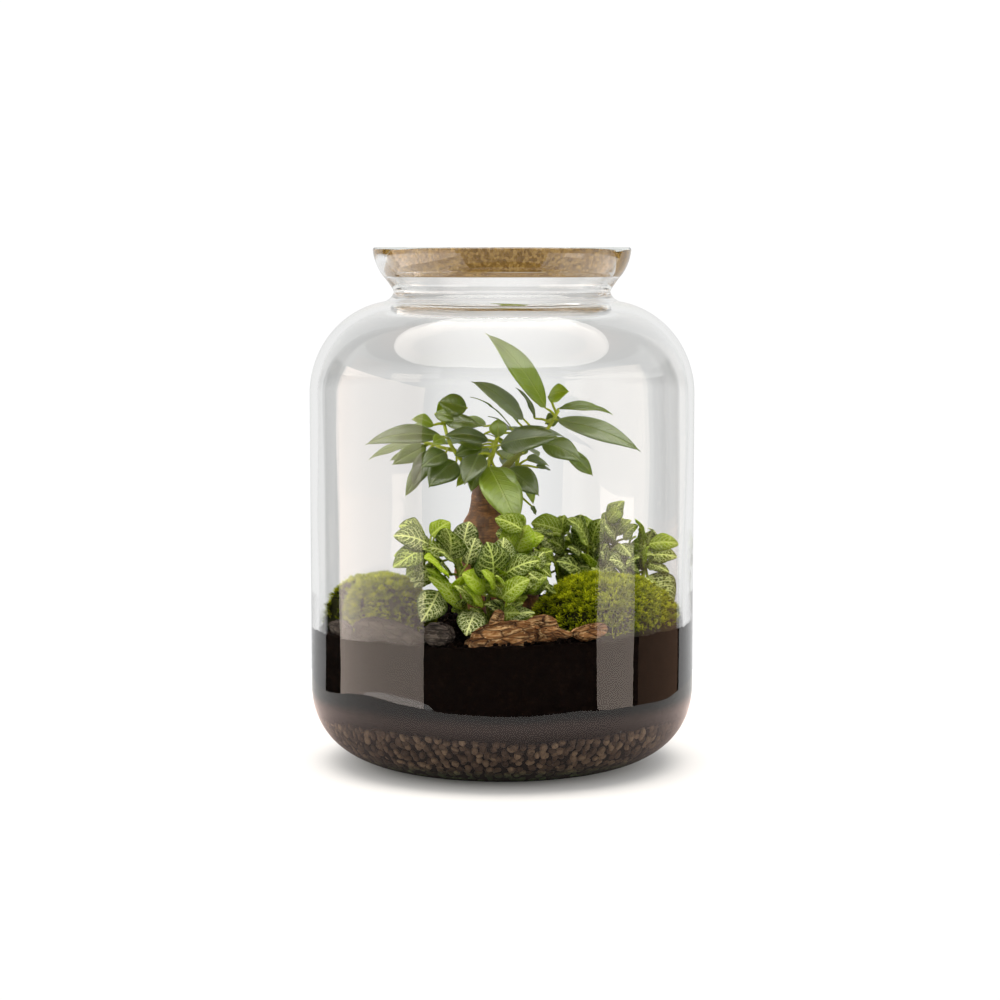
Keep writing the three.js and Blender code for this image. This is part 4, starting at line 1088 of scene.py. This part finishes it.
class Nodes:
    """Short ways to build the nodes of one procedural material, or of the world.

    Numbers as names of sockets are their places in the node."""

    def __init__(self, name, world=False):
        self.owner = (bpy.data.worlds if world else bpy.data.materials).new(name)
        self.owner.use_nodes = True
        self.tree = self.owner.node_tree
        self.tree.nodes.clear()

    def set(self, socket, value):
        if isinstance(value, Flow):
            self.tree.links.new(value.socket, socket)
        elif isinstance(value, tuple) and len(value) == 3 and len(socket.default_value) == 4:
            socket.default_value = (*value, 1)
        else:
            socket.default_value = value

    def node(self, kind, inputs=(), **settings):
        node = self.tree.nodes.new("ShaderNode" + kind)
        for key, value in settings.items():
            setattr(node, key, value)
        for key, value in dict(inputs).items():
            self.set(node.inputs[key], value)
        return node

    def add(self, kind, inputs=(), output=0, **settings):
        return Flow(self, self.node(kind, inputs, **settings).outputs[output])

    def math(self, operation, a, b=0.0):
        return self.add("Math", {0: a, 1: b}, operation=operation)

    def join(self, a, b):
        return self.add("VectorMath", {0: a, 1: b}, operation="ADD")

    def stretch(self, place, x, y, z):
        return self.add("VectorMath", {0: place, 1: (x, y, z)}, operation="MULTIPLY")

    def mix(self, factor, a, b, blend="MIX"):
        return self.add("Mix", {0: factor, 6: a, 7: b}, 2, data_type="RGBA", blend_type=blend)

    def step(self, value, low, high):
        """0 below low, 1 above high and smooth between them, or the other way round."""
        flip = high < low
        ends = {1: min(low, high), 2: max(low, high), 3: float(flip), 4: float(not flip)}
        return self.add("MapRange", {0: value, **ends}, interpolation_type="SMOOTHSTEP")

    def vector(self, name, output="Vector"):
        return self.add("Attribute", output=output, attribute_name=name)

    def split(self, vector):
        node = self.node("SeparateXYZ", {0: vector})
        return [Flow(self, socket) for socket in node.outputs]

    def facts(self):
        return self.split(self.vector("facts", "Color"))

    def ray(self, name):
        return self.add("LightPath", output=name)

    def noise(self, place, scale, detail=4.0, rough=0.55, distortion=0.0):
        inputs = {"Vector": place, "Scale": scale, "Detail": detail, "Roughness": rough}
        return self.add("TexNoise", {**inputs, "Distortion": distortion})

    def drift(self, place, scale):
        """Three smooth noises from 0 to 1, as a vector."""
        return self.add("TexNoise", {"Vector": place, "Scale": scale}, 1)

    def cells(self, place, scale, feature="F1", output="Distance", randomness=1.0):
        inputs = {"Vector": place, "Scale": scale, "Randomness": randomness}
        return self.add("TexVoronoi", inputs, output, feature=feature)

    def seams(self, place, scale, randomness=1.0):
        """The distance to the border between two cells."""
        return self.cells(place, scale, "DISTANCE_TO_EDGE", randomness=randomness)

    def ramp(self, value, stops):
        node = self.node("ValToRGB", {0: value})
        marks = node.color_ramp.elements
        while len(marks) < len(stops):
            marks.new(0.5)
        for stop, (place, color) in zip(marks, stops):
            stop.position = place
            stop.color = (*color, 1)
        return Flow(self, node.outputs[0])

    def bump(self, height, distance, strength=1.0, reach=0.1):
        """Relief of this many millimetres, read this many pixels apart."""
        inputs = {"Height": height, "Distance": distance * MM, "Strength": strength, "Filter Width": reach}
        return self.add("Bump", inputs)

    def surface(self, color, roughness, normal=None, shine=0.5, **more):
        names = {key.replace("_", " "): value for key, value in more.items()}
        inputs = {"Base Color": color, "Roughness": roughness, "Specular IOR Level": shine, **names}
        if normal is not None:
            inputs["Normal"] = normal
        return self.add("BsdfPrincipled", inputs)

    def blend(self, factor, a, b):
        return self.add("MixShader", {0: factor, 1: a, 2: b})

    def done(self, surface, kind="OutputMaterial"):
        self.node(kind, {"Surface": surface})
        return self.owner


GLASS_INDEX = 1.47
INNER_MIRROR = 0.12
GLASS_WAVE = 2.0
GLASS_WAVE_SCALE = 0.018
GLASS_COLOR = (0.997, 0.999, 0.994)
FOOT_COLOR = (0.22, 0.85, 0.4)
EDGE_COLOR = (0.6, 0.618, 0.6)
CLEAR_COLOR = (0.96, 0.97, 0.96)
DEEPEST_RAY = 4.5


def glass_material(name, index, mirror=1.0):
    """Clear glass, greener where it is thick at the foot. Light for the plants passes straight through.

    The wave of the inner face is the outer one's turned over, so that what is inside isn't bent."""
    n = Nodes(name)
    span = n.vector("span")
    color = n.mix(n.step(n.split(span)[2], 15.0, 7.0), GLASS_COLOR, FOOT_COLOR)
    facing = n.add("LayerWeight", {"Blend": 0.5}, "Facing")
    color = n.mix(n.step(facing, 0.82, 0.98), color, EDGE_COLOR, "MULTIPLY")
    ripple = n.noise(n.stretch(span, 1.0, 1.0, 0.7), GLASS_WAVE_SCALE, 0.0)
    blown = n.bump(1.0 - ripple if mirror < 1 else ripple, GLASS_WAVE, reach=2.0)
    tint = (mirror, mirror, mirror)
    glass = n.surface(color, 0.0, blown, IOR=index, Transmission_Weight=1.0, Specular_Tint=tint)
    clear = n.add("BsdfTransparent", {"Color": CLEAR_COLOR})
    passing = n.ray("Is Shadow Ray").larger(n.ray("Is Diffuse Ray"))
    return n.done(n.blend(passing.larger(n.ray("Ray Depth") > DEEPEST_RAY), glass, clear))


CORK_TONES = [(0.0, (0.18, 0.092, 0.018)), (0.45, (0.29, 0.16, 0.036)), (1.0, (0.45, 0.27, 0.074))]
CORK_FLECK = (0.11, 0.045, 0.012)
CORK_SEAM = (0.14, 0.065, 0.018)
CORK_CELL = 0.62


def cork_material():
    """Grains of cork of several tones, with dark flecks and seams."""
    n = Nodes("agglomerated_cork")
    place = n.vector("span")
    warped = n.join(place, n.drift(place, 0.9))
    tone = n.split(n.cells(warped, CORK_CELL, output="Color"))[0]
    seams = n.seams(warped, CORK_CELL)
    fleck = n.noise(place, 1.9, 6.0, 0.65)
    color = n.ramp(tone, CORK_TONES)
    color = n.mix(n.step(fleck, 0.58, 0.7) * 0.8, color, CORK_FLECK)
    color = n.mix(n.step(seams, 0.07, 0.0) * 0.5, color, CORK_SEAM)
    relief = n.step(seams, 0.0, 0.14) + fleck * 1.3
    return n.done(n.surface(color, 0.78, n.bump(relief, 0.2, 0.6), shine=0.15))


GRAIN_TONES = [(0.0, (0.03, 0.017, 0.01)), (0.55, (0.062, 0.037, 0.022)), (1.0, (0.15, 0.098, 0.06))]
GRAIN_SPECK = (0.04, 0.026, 0.016)
# Painted shade for the core behind the grains and for the bed under the moss shoots.
CORE_PAINTED_SHADE = (0.006, 0.004, 0.003)
MOSS_BED_PAINTED_SHADE = (0.022, 0.024, 0.004)
NEARLY_BLACK = (0.002, 0.0012, 0.0008)


def gravel_material():
    """Brown grains, each with its own tone and fine specks."""
    n = Nodes("drainage_grain")
    speck = n.noise(n.vector("span"), 1.1, 5.0, 0.6)
    color = n.mix(n.step(speck, 0.5, 0.75), n.ramp(n.facts()[0], GRAIN_TONES), GRAIN_SPECK)
    return n.done(n.surface(color, 0.6, n.bump(speck, 0.25), shine=0.1))


def painted_shade_bed(name, color):
    """The hidden bed under grains or shoots, nearly black: painted shade for the gaps between them."""
    n = Nodes(name)
    speck = n.noise(n.vector("span"), 0.8, 4.0)
    return n.done(n.surface(n.mix(speck, color, NEARLY_BLACK), 0.9, shine=0.04))


SOIL_TONES = [(0.3, (0.001, 0.0004, 0.0002)), (0.55, (0.0035, 0.0013, 0.0006)), (0.8, (0.012, 0.005, 0.0022))]
SOIL_FINE = (0.02, 0.009, 0.004)
SOIL_FIBRE = (0.04, 0.02, 0.009)


def soil_material():
    """Nearly black soil with brown crumbs and fibres."""
    n = Nodes("potting_soil_mix")
    place = n.vector("span")
    clods = n.noise(place, 0.28, 8.0, 0.68)
    fine = n.noise(place, 1.6, 5.0, 0.6)
    fibres = n.noise(n.stretch(place, 1.2, 1.2, 0.35), 0.9, 3.0, 0.5, 1.6)
    color = n.mix(n.step(fine, 0.62, 0.76), n.ramp(clods, SOIL_TONES), SOIL_FINE)
    color = n.mix(n.step(fibres, 0.7, 0.8) * 0.5, color, SOIL_FIBRE)
    return n.done(n.surface(color, 0.85, n.bump(clods * 1.6 + fine, 0.9), shine=0.04))


MOSS_TONES = [(0.0, (0.13, 0.17, 0.001)), (0.55, (0.31, 0.35, 0.003)), (1.0, (0.66, 0.68, 0.012))]
MOSS_PATCH = (0.1, 0.12, 0.002)
MOSS_FOOT_PAINTED_SHADE = (0.014, 0.017, 0.001)


def moss_material():
    """Shoots with painted shade at their foot and bright at their tips, with darker patches."""
    n = Nodes("moss_shoot")
    tint, along, _ = n.split(n.vector("place"))
    patch = n.noise(n.vector("span"), 0.11, 3.0)
    tip = n.mix(n.step(patch, 0.5, 0.7) * 0.6, n.ramp(tint, MOSS_TONES), MOSS_PATCH)
    # Painted shade: each shoot darkens towards its foot, deep in the cushion.
    color = n.mix(n.step(along, 0.05, 0.85), MOSS_FOOT_PAINTED_SHADE, tip)
    glow = n.add("BsdfTranslucent", {"Color": tip})
    return n.done(n.blend(0.35, n.surface(color, 0.8, shine=0.08), glow))


BROWN_BARK = ((0.04, 0.016, 0.007), (0.25, 0.105, 0.033), (0.66, 0.42, 0.2))
GREY_BARK = ((0.014, 0.009, 0.007), (0.046, 0.034, 0.027), (0.15, 0.12, 0.1))


def bark_material(name, dark, middle, light):
    """Strands along the grain, with darker sheets, cracks grooved and darkened with painted shade, and pale
    scuffs.
    """
    n = Nodes(name)
    place = n.vector("span")
    drawn_out = n.stretch(place, 0.16, 1.0, 1.0)
    strands = n.noise(drawn_out, 0.55, 7.0, 0.62, 0.6)
    sheets = n.noise(n.stretch(place, 0.25, 0.7, 3.0), 0.5, 5.0, 0.6)
    blotch = n.noise(place, 0.16, 3.0)
    scuff = n.noise(n.stretch(place, 0.5, 1.0, 1.0), 0.34, 5.0, 0.7, 0.8)
    cracks = n.step(n.seams(n.stretch(place, 0.35, 1.0, 1.0), 0.27), 0.09, 0.01)
    color = n.ramp(strands, [(0.32, dark), (0.5, middle), (0.68, light)])
    color = n.mix(n.step(blotch, 0.45, 0.7), color, tuple(0.5 * c for c in middle))
    color = n.mix(n.step(sheets, 0.55, 0.7) * 0.5, color, dark)
    # Painted shade in the cracks, which the bump also sinks.
    color = n.mix(cracks * 0.75, color, dark)
    color = n.mix(n.step(scuff, 0.54, 0.66) * 0.8, color, light)
    relief = strands + (sheets * 0.8 - cracks)
    return n.done(n.surface(color, 0.85, n.bump(relief, 1.0), shine=0.15))


TRUNK_TONES = [(0.28, (0.055, 0.019, 0.004)), (0.5, (0.18, 0.068, 0.016)), (0.74, (0.42, 0.19, 0.058))]
TRUNK_PINK = (0.62, 0.25, 0.09)
TRUNK_LEFT_PAINTED_LIGHT = (0.34, 0.13, 0.03)
TRUNK_PAINTED_GROOVE_SHADE = (0.07, 0.03, 0.014)
TRUNK_GREEN = (0.24, 0.26, 0.03)
TRUNK_FLECK = (0.07, 0.032, 0.018)


def trunk_material():
    """Ringed bark: pink low down and green up the stubs, with painted light in a warm tone on the left of the
    bulb and painted shade in dark vertical streaks where grooves would be.
    """
    n = Nodes("fig_skin")
    place = n.vector("span")
    x, _, z = n.split(place)
    rings = n.noise(n.stretch(place, 0.22, 0.22, 1.0), 0.75, 6.0, 0.6, 0.5)
    patches = n.noise(place, 0.09, 5.0, 0.6)
    flecks = n.noise(n.stretch(place, 0.5, 0.5, 1.3), 1.5, 3.0)
    grooves = n.noise(n.stretch(place, 1.0, 1.0, 0.18), 0.22, 3.0)
    pink = n.step(z, 148.0, 132.0) * n.step(patches, 0.4, 0.56)
    # Painted light: the left of the bulb is warmer, as if lit from the left.
    painted_light_left = n.step(x, -13.0, -19.0) * n.step(z, 152.0, 138.0)
    color = n.mix(pink * 0.6, n.ramp(rings, TRUNK_TONES), TRUNK_PINK)
    # Painted shade of grooves: dark vertical streaks that the bump neither raises nor sinks.
    color = n.mix(n.step(grooves, 0.5, 0.62) * 0.7, color, TRUNK_PAINTED_GROOVE_SHADE)
    color = n.mix(painted_light_left * 0.75, color, TRUNK_LEFT_PAINTED_LIGHT)
    color = n.mix(n.step(z, 170.0, 182.0), color, TRUNK_GREEN)
    color = n.mix(n.step(flecks, 0.6, 0.72) * 0.5, color, TRUNK_FLECK)
    return n.done(n.surface(color, 0.55, n.bump(rings + flecks * 0.4, 0.6)))


def leaf_parts(name):
    """The nodes, the facts of a leaf, and the distances across and along its blade."""
    n = Nodes(name)
    u, t, _ = n.split(n.vector("place"))
    return n, n.facts(), abs(u), t


def side_veins(n, u, t, form):
    """Distance from the nearest side vein, in shares of the space between two."""
    phase = (t - n.math("POWER", u, 1.3) * form["sweep"]) * form["veins"]
    return abs(phase - n.math("ROUND", phase))


def leaf_shader(n, color, glow, roughness, relief, share, index):
    """A blade that shines on top and lets light through."""
    bump = n.bump(relief, 0.35)
    skin = n.surface(color, roughness, bump, IOR=index)
    through = n.add("BsdfTranslucent", {"Color": glow, "Normal": bump})
    return n.done(n.blend(share, skin, through))


# An old and a young leaf's colours. A range of old leaves has its darkest and its lightest.
FIG_OLD = ((0.045, 0.07, 0.006), (0.085, 0.12, 0.012))
FIG_YOUNG = (0.24, 0.34, 0.002)
FIG_BLOTCH = (0.04, 0.055, 0.008)
# Painted sheen for leaves marked with a youth below 0.
FIG_PAINTED_SHEEN = (0.3, 0.34, 0.2)
FIG_RIBS = ((0.2, 0.24, 0.06), (0.4, 0.46, 0.06))
FIG_GLOWS = ((0.45, 0.6, 0.006), (0.85, 1.0, 0.004))
FIG_TWIG = ((0.6, 0.66, 0.03), (0.4, 0.44, 0.04))
NERVE_OLD = ((0.016, 0.034, 0.002), (0.05, 0.085, 0.004))
NERVE_YOUNG = (0.24, 0.33, 0.003)
NERVE_VEINS = ((0.76, 0.85, 0.22), (0.97, 1.0, 0.46))
NERVE_YOUNG_VEIN = (0.66, 0.76, 0.12)
NERVE_GLOWS = ((0.27, 0.4, 0.006), (0.8, 1.0, 0.008))
NERVE_STEM = ((0.36, 0.42, 0.02), (0.2, 0.24, 0.03))


def fig_leaf_material():
    """A leathery leaf with a pale midrib and faint side veins, and painted sheen on the leaves marked for it.
    """
    n, (youth, tone, pale), u, t = leaf_parts("fig_leaf_skin")
    span = n.vector("span")
    midrib = n.step(abs(n.split(span)[0]), 0.75, 0.25)
    veins = n.step(side_veins(n, u, t, FIG), 0.12, 0.03)
    blotch = n.noise(span, 0.12, 3.0)
    green = n.mix(youth, n.mix(tone, *FIG_OLD), FIG_YOUNG)
    green = n.mix(n.step(blotch, 0.4, 0.7) * 0.35, green, FIG_BLOTCH)
    # Painted sheen: a pale grey-green cast on leaves whose third fact is above 1.
    green = n.mix(n.step(pale, 1.0, 2.0), green, FIG_PAINTED_SHEEN)
    rib = n.mix(youth, *FIG_RIBS)
    color = n.mix(midrib * 0.75, n.mix(veins * 0.22, green, rib), rib)
    relief = veins * -0.3 - midrib
    return leaf_shader(n, color, n.mix(youth, *FIG_GLOWS), 0.3, relief, 0.38, 1.8)


def nerve_leaf_material():
    """A dark leaf with a white midrib, side veins and a fine net between them."""
    n, (youth, tone, pale), u, t = leaf_parts("nerve_leaf_skin")
    span = n.vector("span")
    bent = n.join(span, n.stretch(n.drift(span, 0.5), 0.9, 0.9, 0.0))
    midrib = n.step(abs(n.split(span)[0]), 0.75, 0.3)
    side = n.step(side_veins(n, u, t, NERVE) / n.step(u, 1.5, 0.0), 0.16, 0.07)
    net = n.step(n.seams(bent, 0.62, 0.9), 0.088, 0.03)
    drawn = ((side * 0.95).larger(net * 0.92) * n.step(u, 1.0, 0.8)).larger(midrib)
    green = n.mix(youth, n.mix(tone, *NERVE_OLD), NERVE_YOUNG)
    vein = n.mix(youth, n.mix(pale, *NERVE_VEINS), NERVE_YOUNG_VEIN)
    glow = n.mix(drawn, n.mix(youth, *NERVE_GLOWS), vein)
    return leaf_shader(n, n.mix(drawn, green, vein), glow, 0.45, drawn * -1.0, 0.42, 1.33)


def stem_material(name, young, old):
    """A green stem with paler and darker streaks."""
    n = Nodes(name)
    streak = n.noise(n.stretch(n.vector("span"), 1, 1, 0.3), 0.9, 4.0)
    color = n.mix(n.step(streak, 0.3, 0.75), young, old)
    glow = n.add("BsdfTranslucent", {"Color": young})
    return n.done(n.blend(0.35, n.surface(color, 0.42), glow))


# ------------------------------------------------------------ studio

CAMERA_DISTANCE = 1500
CAMERA_SIDE = -1.2
CAMERA_LENS = 90.18
CAMERA_PITCH = 5.767

# Strengths of the world's light, which depend on where it comes from and on how it is seen.
BACKDROP_HALF_ANGLE = 48
BACKDROP_LIGHT = 0.85
PAGE_LIGHT = 1.04
THROUGH_LIGHT = 0.93
SIDE_SHADE = 0.17
LEFT_SHADE = 0.06
TOP_SHADE = 0.18
SHADE_REACH = 0.05
FILL_LIGHT = 0.34
DARK_SIDE = 0.002
CEILING_LIGHT = 0.3
GLASS_GLOW = 0.4
LOW_GLOW = 1.6

WHITE = (1.0, 1.0, 1.0)
WARM = (1.0, 0.96, 0.9)
AMBER = (1.0, 0.84, 0.73)
RUSSET = (1.0, 0.6, 0.4)

TABLE_RADIUS = 350
TABLE_RINGS = (300, 150, 60)
TABLE_THICKNESS = 0.1
TABLE_DROP = 0.05
TABLE_PAPER = ((0.57, 0.555, 0.545), (0.58, 0.565, 0.555))
# The paper's glow fades near the jar as painted shadow; the two colours after it are its painted reflection.
TABLE_LIFT = 0.26
TABLE_PAINTED_REFLECTION = (1.45, 1.16, 1.06)
TABLE_FAR_PAINTED_REFLECTION = (0.95, 0.93, 0.9)


def studio_world():
    """White behind the jar, a dark studio on the camera's side, and white for what is seen directly."""
    n = Nodes("studio", world=True)
    x, y, z = n.split(n.add("TexCoord", output="Generated"))
    flat = n.math("SQRT", x * x + y * y)
    backdrop = (y / flat > math.cos(math.radians(BACKDROP_HALF_ANGLE))) * (abs(z) < 0.8)
    mirrored = n.ray("Glossy Depth") > 0.5
    ceiling = (z > 0.3) * (CEILING_LIGHT - DARK_SIDE)
    inside = mirrored * (n.ray("Transmission Depth") > 0.5)
    glow = inside * ((abs(x / flat) > 0.93).larger(abs(z) > 0.3) * GLASS_GLOW)
    low = (z * -1 > 0.2) * (abs(x / flat) > 0.64) * LOW_GLOW
    fill = ceiling.larger(glow).larger(low) + DARK_SIDE + (1 - mirrored) * FILL_LIGHT
    around = backdrop * (BACKDROP_LIGHT - fill) + fill
    camera = n.ray("Is Camera Ray")
    direct = camera.larger(n.ray("Is Transmission Ray")) * (1 - mirrored)
    aside = (abs(x) * (1 / SHADE_REACH)).smaller(1)
    left = (x * (-1 / SHADE_REACH)).between(0, 1)
    upper = ((z + 0.05) * 40).between(0, 1)
    shaded = THROUGH_LIGHT - n.math("POWER", aside, 2) * SIDE_SHADE - left * LEFT_SHADE - upper * TOP_SHADE
    page = camera * PAGE_LIGHT + (1 - camera) * shaded
    strength = around + direct * (page - around)
    light = n.add("Background", {"Color": WHITE, "Strength": strength})
    bpy.context.scene.world = n.done(light, "OutputWorld")


def softbox(name, centre, size, facing, radiance, color, shape="RECTANGLE", gloss=True, matt=True):
    """A light, in metres, never seen itself: it shows in reflections, lights matt surfaces or both."""
    light = bpy.data.lights.new(name, "AREA")
    light.shape = shape
    light.color = color
    light.size, light.size_y = size
    light.energy = radiance * math.pi * size[0] * size[1]
    lamp = bpy.data.objects.new(name, light)
    lamp.location = centre
    lamp.rotation_mode = "QUATERNION"
    lamp.rotation_quaternion = Vector(facing).to_track_quat("-Z", "Y")
    lamp.visible_camera = False
    lamp.visible_glossy = gloss
    lamp.visible_diffuse = matt
    bpy.context.scene.collection.objects.link(lamp)


def table_material():
    """Pale paper that glows a little, with painted shadow near the jar where its glow fades. Glossy rays see
    a warmer painted reflection of it instead, dimmed near the jar by painted shade.
    """
    n = Nodes("pale_table")
    span = n.vector("span")
    paper = n.surface(n.mix(n.noise(span, 0.03, 4.0), *TABLE_PAPER), 0.6, shine=0.2)
    x, y, _ = n.split(span)
    radius = n.math("SQRT", x * x + y * y)
    # Painted shadow: the paper's glow fades close to the jar.
    strength = TABLE_LIFT - n.step(radius, 116.0, 65.0) * TABLE_LIFT
    lift = n.add("Emission", {"Color": WHITE, "Strength": strength})
    seen = n.add("AddShader", {0: paper, 1: lift})
    # Painted reflection, seen only by glossy rays: warm near the jar, dark right beside its foot.
    image = n.mix(n.step(radius, 190.0, 300.0), TABLE_PAINTED_REFLECTION, TABLE_FAR_PAINTED_REFLECTION)
    mirrored = n.add("Emission", {"Color": image, "Strength": n.step(radius, 70.0, 200.0)})
    return n.done(n.blend(n.ray("Is Glossy Ray"), seen, mirrored))


def table_top():
    """The pale table that the jar stands on."""
    rims = [circle(radius, -TABLE_DROP, 128) for radius in (TABLE_RADIUS, *TABLE_RINGS)]
    points, faces = loft([circle(TABLE_RADIUS, -TABLE_THICKNESS, 128), *rims])
    mesh = bpy.data.meshes.new("table")
    mesh.from_pydata((points * MM).tolist(), [], faces)
    mark(mesh, "span", points)
    mesh.materials.append(table_material())
    table = bpy.data.objects.new("table", mesh)
    bpy.context.scene.collection.objects.link(table)


def studio():
    """The world, the table, the lights and the camera."""
    scene = bpy.context.scene
    scene.view_settings.view_transform = "Standard"
    studio_world()
    table_top()
    softbox("left_softbox", (-1.0, -0.37, 0.16), (1.42, 0.82), (1, 0, 0), 2.7, AMBER, matt=False)
    softbox("left_key", (-1.0, -0.275, 0.9), (1.61, 2.3), (1, 0, -0.3), 1.0, WARM, gloss=False)
    softbox("right_softbox", (1.12, -0.46, -0.06), (0.5, 0.22), (-1, 0.41, 0), 2.7, AMBER, matt=False)
    softbox("top_softbox", (0.0, -0.5, 1.25), (2.4, 1.8), (0, 0, -1), 3.3, WARM, "ELLIPSE", matt=False)
    softbox("right_glow", (1.15, 0.3, -0.2), (0.9, 0.45), (-1, -0.2, 0), 0.38, RUSSET, matt=False)
    softbox("right_key", (1.0, -0.7, 0.55), (0.8, 0.8), (-1, 0.7, -0.3), 2.1, WARM, gloss=False)
    softbox("top_key", (0.0, 0.0, 1.25), (1.2, 1.0), (0, 0, -1), 8.5, WARM, "ELLIPSE", gloss=False)
    camera = bpy.data.cameras.new("camera")
    camera.lens = CAMERA_LENS
    camera.sensor_width = 36
    camera.clip_start = 0.01
    made = bpy.data.objects.new("camera", camera)
    made.location = (CAMERA_SIDE * MM, -CAMERA_DISTANCE * MM, JAR_HEIGHT * MM)
    made.rotation_euler = (math.radians(90 - CAMERA_PITCH), 0, 0)
    scene.collection.objects.link(made)
    scene.camera = made


# ------------------------------------------------------------ assembly

WALL_REACH = JAR_RADIUS - WALL - 1.2


def left_reach(x, y):
    """How far from the axis the left cushion may reach, clear of the grey bark at its front."""
    if y >= 0.25 * x:
        return WALL_REACH
    return 99 if x < -82 else 95


def make_terrarium():
    """Every piece, from the jar and its lid inwards to the plants."""
    glass_jar([
        glass_material("clear_glass", GLASS_INDEX),
        glass_material("inner_glass", GLASS_INDEX, INNER_MIRROR),
        glass_material("glass_on_fill", 1.0),
    ])
    cork_lid(cork_material())
    gravel(gravel_material(), painted_shade_bed("grain_core", CORE_PAINTED_SHADE))
    soil(soil_material())
    moss_slots = [moss_material(), painted_shade_bed("moss_bed", MOSS_BED_PAINTED_SHADE)]
    moss("moss_cushion_left", "moss_left", (-74, -42), 34, 44, 33.5, left_reach, 5, moss_slots)
    moss("moss_cushion_right", "moss_right", (62, -46), 46, 42, 29.5, lambda x, y: WALL_REACH, 9, moss_slots)
    brown = bark_material("brown_bark", *BROWN_BARK)
    grey = bark_material("grey_bark", *GREY_BARK)
    for number, flake in enumerate(FLAKES, 1):
        is_grey = number in GREY_FLAKES
        bark_flake(number, flake, grey if is_grey else brown, "grey_bark" if is_grey else "bark")
    fig_trunk(trunk_material())
    skins = [fig_leaf_material(), stem_material("fig_twig", *FIG_TWIG)]
    for seed, (name, (_, leaves)) in enumerate(SHOOTS.items(), 30):
        piece, node, stems = "fig_shoot_" + name, "ficus_shoot_" + name, shoot_forks(name)
        leafy_stem(piece, node, "fig_leaf", stems, leaves, FIG, skins, seed, FIG_INNER_LEAVES)
    skins = [nerve_leaf_material(), stem_material("nerve_stem", *NERVE_STEM)]
    for seed, (name, (root, forks, leaves)) in enumerate(NERVE_PLANTS.items(), 60):
        piece, node, stems = "nerve_plant_" + name, "fittonia_" + name, nerve_stems(root, forks)
        leafy_stem(piece, node, "nerve_leaf", stems, leaves, NERVE, skins, seed, NERVE_INNER_LEAVES)


make_terrarium()
studio()
